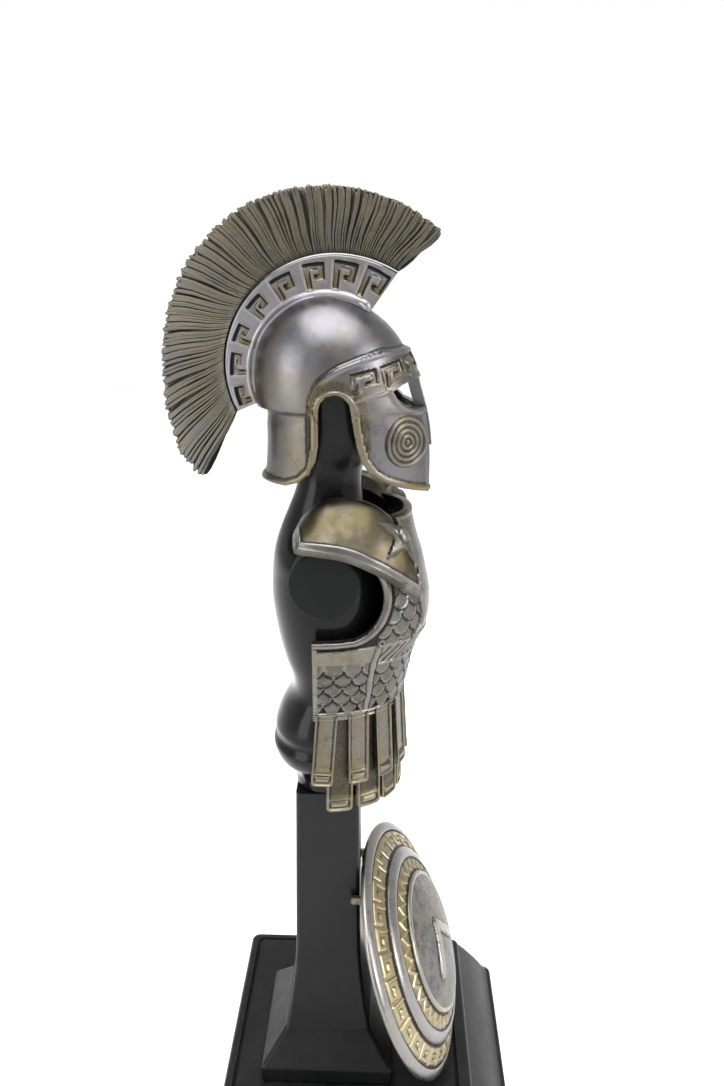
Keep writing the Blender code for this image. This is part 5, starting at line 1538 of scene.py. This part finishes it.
def build_stage():
    turns = np.linspace(0, 2 * math.pi, 128, endpoint=False)
    profile = [(r, 0.0) for r in (0.02, 0.3, 0.8, 1.3)]
    profile += [(1.3 + 0.7 * math.sin(a), 0.7 * (1 - math.cos(a))) for a in np.linspace(0.1, math.pi / 2, 16)]
    profile += [(2.0, 1.2), (2.0, 1.8)]
    rings = []
    for r, z in profile:
        rings.append(np.stack([r * np.cos(turns), r * np.sin(turns), np.full(len(turns), z - 0.0001)], -1))
    mesh = bpy.data.meshes.new("studio_sweep")
    faces = [tuple(map(int, face)) for face in grid_faces(len(rings), len(turns), True)]
    faces.append(tuple(range(len(turns)))[::-1])
    mesh.from_pydata(np.concatenate(rings).tolist(), [], faces)
    mesh.shade_smooth()
    material, wiring, shader, coordinates = start_material("studio_paper")
    clouds = wiring.noise(coordinates, 2.0, 2.0)
    paper = wiring.mixed(clouds, (0.86, 0.86, 0.86, 1.0), (0.89, 0.89, 0.885, 1.0))
    wiring.tree.links.new(paper, shader.inputs["Base Color"])
    shader.inputs["Roughness"].default_value = 0.9
    new_object(mesh, material)
    world = bpy.data.worlds.new("studio_air")
    bpy.context.scene.world = world
    world.use_nodes = True
    world.node_tree.nodes["Background"].inputs["Color"].default_value = (1.0, 1.0, 1.0, 1.0)
    world.node_tree.nodes["Background"].inputs["Strength"].default_value = 0.75
    for name, where, size, power in (
        ("overhead", (-0.17, -0.02, 0.95), (0.9, 0.9), 17.5),
        ("camera_side", (-0.60, 0.80, 0.30), (0.50, 0.80), 6.5),
        ("front_side", (-0.45, -0.85, 0.45), (0.40, 0.55), 7.0),
    ):
        light = bpy.data.lights.new(name, "AREA")
        light.shape = "RECTANGLE"
        light.size, light.size_y = size
        light.energy = power
        obj = bpy.data.objects.new(name, light)
        bpy.context.scene.collection.objects.link(obj)
        obj.location = where
        obj.rotation_euler = (Vector((0, 0, 0.13)) - Vector(where)).to_track_quat("-Z", "Y").to_euler()
    camera = bpy.data.cameras.new("photo_camera")
    camera.sensor_fit = "AUTO"
    camera.sensor_width = 36.0
    camera.lens = CAMERA_LENS
    camera.clip_start = 0.01
    obj = bpy.data.objects.new("photo_camera", camera)
    bpy.context.scene.collection.objects.link(obj)
    level = math.cos(CAMERA_DOWN)
    ahead = Vector((math.cos(CAMERA_SWING) * level, math.sin(CAMERA_SWING) * level, -math.sin(CAMERA_DOWN)))
    right = Vector((math.sin(CAMERA_SWING), -math.cos(CAMERA_SWING), 0.0))
    below = ahead.cross(right)
    right_rolled = right * math.cos(CAMERA_ROLL) + below * math.sin(CAMERA_ROLL)
    below_rolled = below * math.cos(CAMERA_ROLL) - right * math.sin(CAMERA_ROLL)
    matrix = Matrix.Identity(4)
    for k, axis in enumerate((right_rolled, -below_rolled, -ahead)):
        for row in range(3):
            matrix[row][k] = axis[row]
    matrix.translation = CAMERA_PLACE
    obj.matrix_world = matrix
    bpy.context.scene.camera = obj
    bpy.context.scene.view_settings.view_transform = "Standard"


def colours():
    return bpy.context.scene.armour_colours


def sizes():
    return bpy.context.scene.armour_sizes


class ARMOUR_OT_stand(bpy.types.Operator):
    """Build the black base and post"""

    bl_idname = "armour.stand"
    bl_label = "Base and post"

    def execute(self, context):
        black = colours().black
        build_base(black_moulding("satin_black_resin", black, 0.34, 0.22, 0.16))
        build_post(black_moulding("satin_black_post", black, 0.36, 0.18, 0.18, 0.007))
        return {"FINISHED"}


class ARMOUR_OT_torso(bpy.types.Operator):
    """Build the gloss black torso and head form with its arm stubs"""

    bl_idname = "armour.torso"
    bl_label = "Torso form"

    def execute(self, context):
        gloss = black_moulding("gloss_black_torso", colours().black, 0.17, 0.14, 0.05, 0.002)
        matte = black_moulding("matte_dark_stub", (0.005, 0.0065, 0.006), 0.55, 0.08, 0.35, 0.006)
        build_torso(gloss, matte)
        return {"FINISHED"}


class ARMOUR_OT_cuirass(bpy.types.Operator):
    """Build the cast breastplate, its hanging strips and its shoulder guards"""

    bl_idname = "armour.cuirass"
    bl_label = "Cuirass"

    def execute(self, context):
        tones = colours()
        depth = sizes().relief_depth
        scales = antique_metal("scaled_silver", tones.silver, tones.brass, 0.28, (0.20, 0.66), 0.3)
        build_breastplate(scales, depth)
        brass = antique_metal("olive_brass", tones.silver, tones.brass, 0.30, (0.14, 0.46), 0.25)
        tan = scaled(tones.brass, 1.25)
        grey = antique_metal("dark_grey_strips", tones.silver, tan, 0.34, (0.2, 0.80), 0.25)
        build_strips(brass, grey, sizes().strip_length)
        gold = scaled(tones.brass, 0.46)
        guards = antique_metal("guard_brass", tones.silver, gold, 0.34, (0.10, 0.45), 0.16, 0.35)
        build_guards(guards, depth)
        return {"FINISHED"}


class ARMOUR_OT_helmet(bpy.types.Operator):
    """Build the helmet, its cheek bosses and the ridge that carries the crest"""

    bl_idname = "armour.helmet"
    bl_label = "Helmet"

    def execute(self, context):
        tones = colours()
        pewter = antique_metal("bowl_pewter", tones.pewter, tones.brass, 0.34, (0.10, 0.46), 0.16, 0.12)
        build_helmet(pewter)
        build_roundels(pewter)
        plate = scaled(tones.pewter, 1.75)
        build_ridge(antique_metal("ridge_pewter", plate, tones.brass, 0.36, (0.10, 0.46), 0.16, 0.12))
        return {"FINISHED"}


class ARMOUR_OT_crest(bpy.types.Operator):
    """Build the crest of cast hair locks"""

    bl_idname = "armour.crest"
    bl_label = "Crest"

    def execute(self, context):
        tones = colours()
        hair = antique_metal("crest_bronze", tones.pewter, tones.bronze, 0.40, (0.22, 0.86), 0.3)
        build_crest(hair, sizes().lock_count, sizes().lock_width)
        return {"FINISHED"}


class ARMOUR_OT_shield(bpy.types.Operator):
    """Build the leaning round shield, its clips and its peg"""

    bl_idname = "armour.shield"
    bl_label = "Shield"

    def execute(self, context):
        tones = colours()
        rings = scaled(tones.silver, 1.4)
        gold = scaled(tones.brass, 2.3)
        metal = antique_metal("shield_silver_brass", rings, gold, 0.30, (0.08, 0.50), 0.2, 0.3)
        dark = black_moulding("peg_black", tones.black, 0.4, 0.2, 0.15)
        build_shield(metal, sizes().meander_count)
        build_clips(metal)
        build_peg(dark)
        return {"FINISHED"}


class ARMOUR_OT_stage(bpy.types.Operator):
    """Set the pale studio sweep, its soft lights and the camera"""

    bl_idname = "armour.stage"
    bl_label = "Studio"

    def execute(self, context):
        build_stage()
        return {"FINISHED"}


OPERATORS = (
    ARMOUR_OT_stand, ARMOUR_OT_torso, ARMOUR_OT_cuirass, ARMOUR_OT_helmet, ARMOUR_OT_crest, ARMOUR_OT_shield,
    ARMOUR_OT_stage,
)


class ARMOUR_PT_panel(bpy.types.Panel):
    """Lists the armour's sizes, colours and building steps"""

    bl_label = "Armour stand"
    bl_idname = "ARMOUR_PT_panel"
    bl_space_type = "VIEW_3D"
    bl_region_type = "UI"
    bl_category = "Armour"

    def draw(self, context):
        layout = self.layout
        for group in (context.scene.armour_sizes, context.scene.armour_colours):
            for key in group.__annotations__:
                layout.prop(group, key)
        for operator in OPERATORS:
            layout.operator(operator.bl_idname)


CLASSES = (ARMOUR_PG_sizes, ARMOUR_PG_colours, *OPERATORS, ARMOUR_PT_panel)


def register():
    for item in CLASSES:
        bpy.utils.register_class(item)
    bpy.types.Scene.armour_sizes = bpy.props.PointerProperty(type=ARMOUR_PG_sizes)
    bpy.types.Scene.armour_colours = bpy.props.PointerProperty(type=ARMOUR_PG_colours)


def unregister():
    del bpy.types.Scene.armour_colours
    del bpy.types.Scene.armour_sizes
    for item in reversed(CLASSES):
        bpy.utils.unregister_class(item)


def main():
    register()
    for operator in OPERATORS:
        group, name = operator.bl_idname.split(".")
        getattr(getattr(bpy.ops, group), name)()


if __name__ == "__main__":
    main()
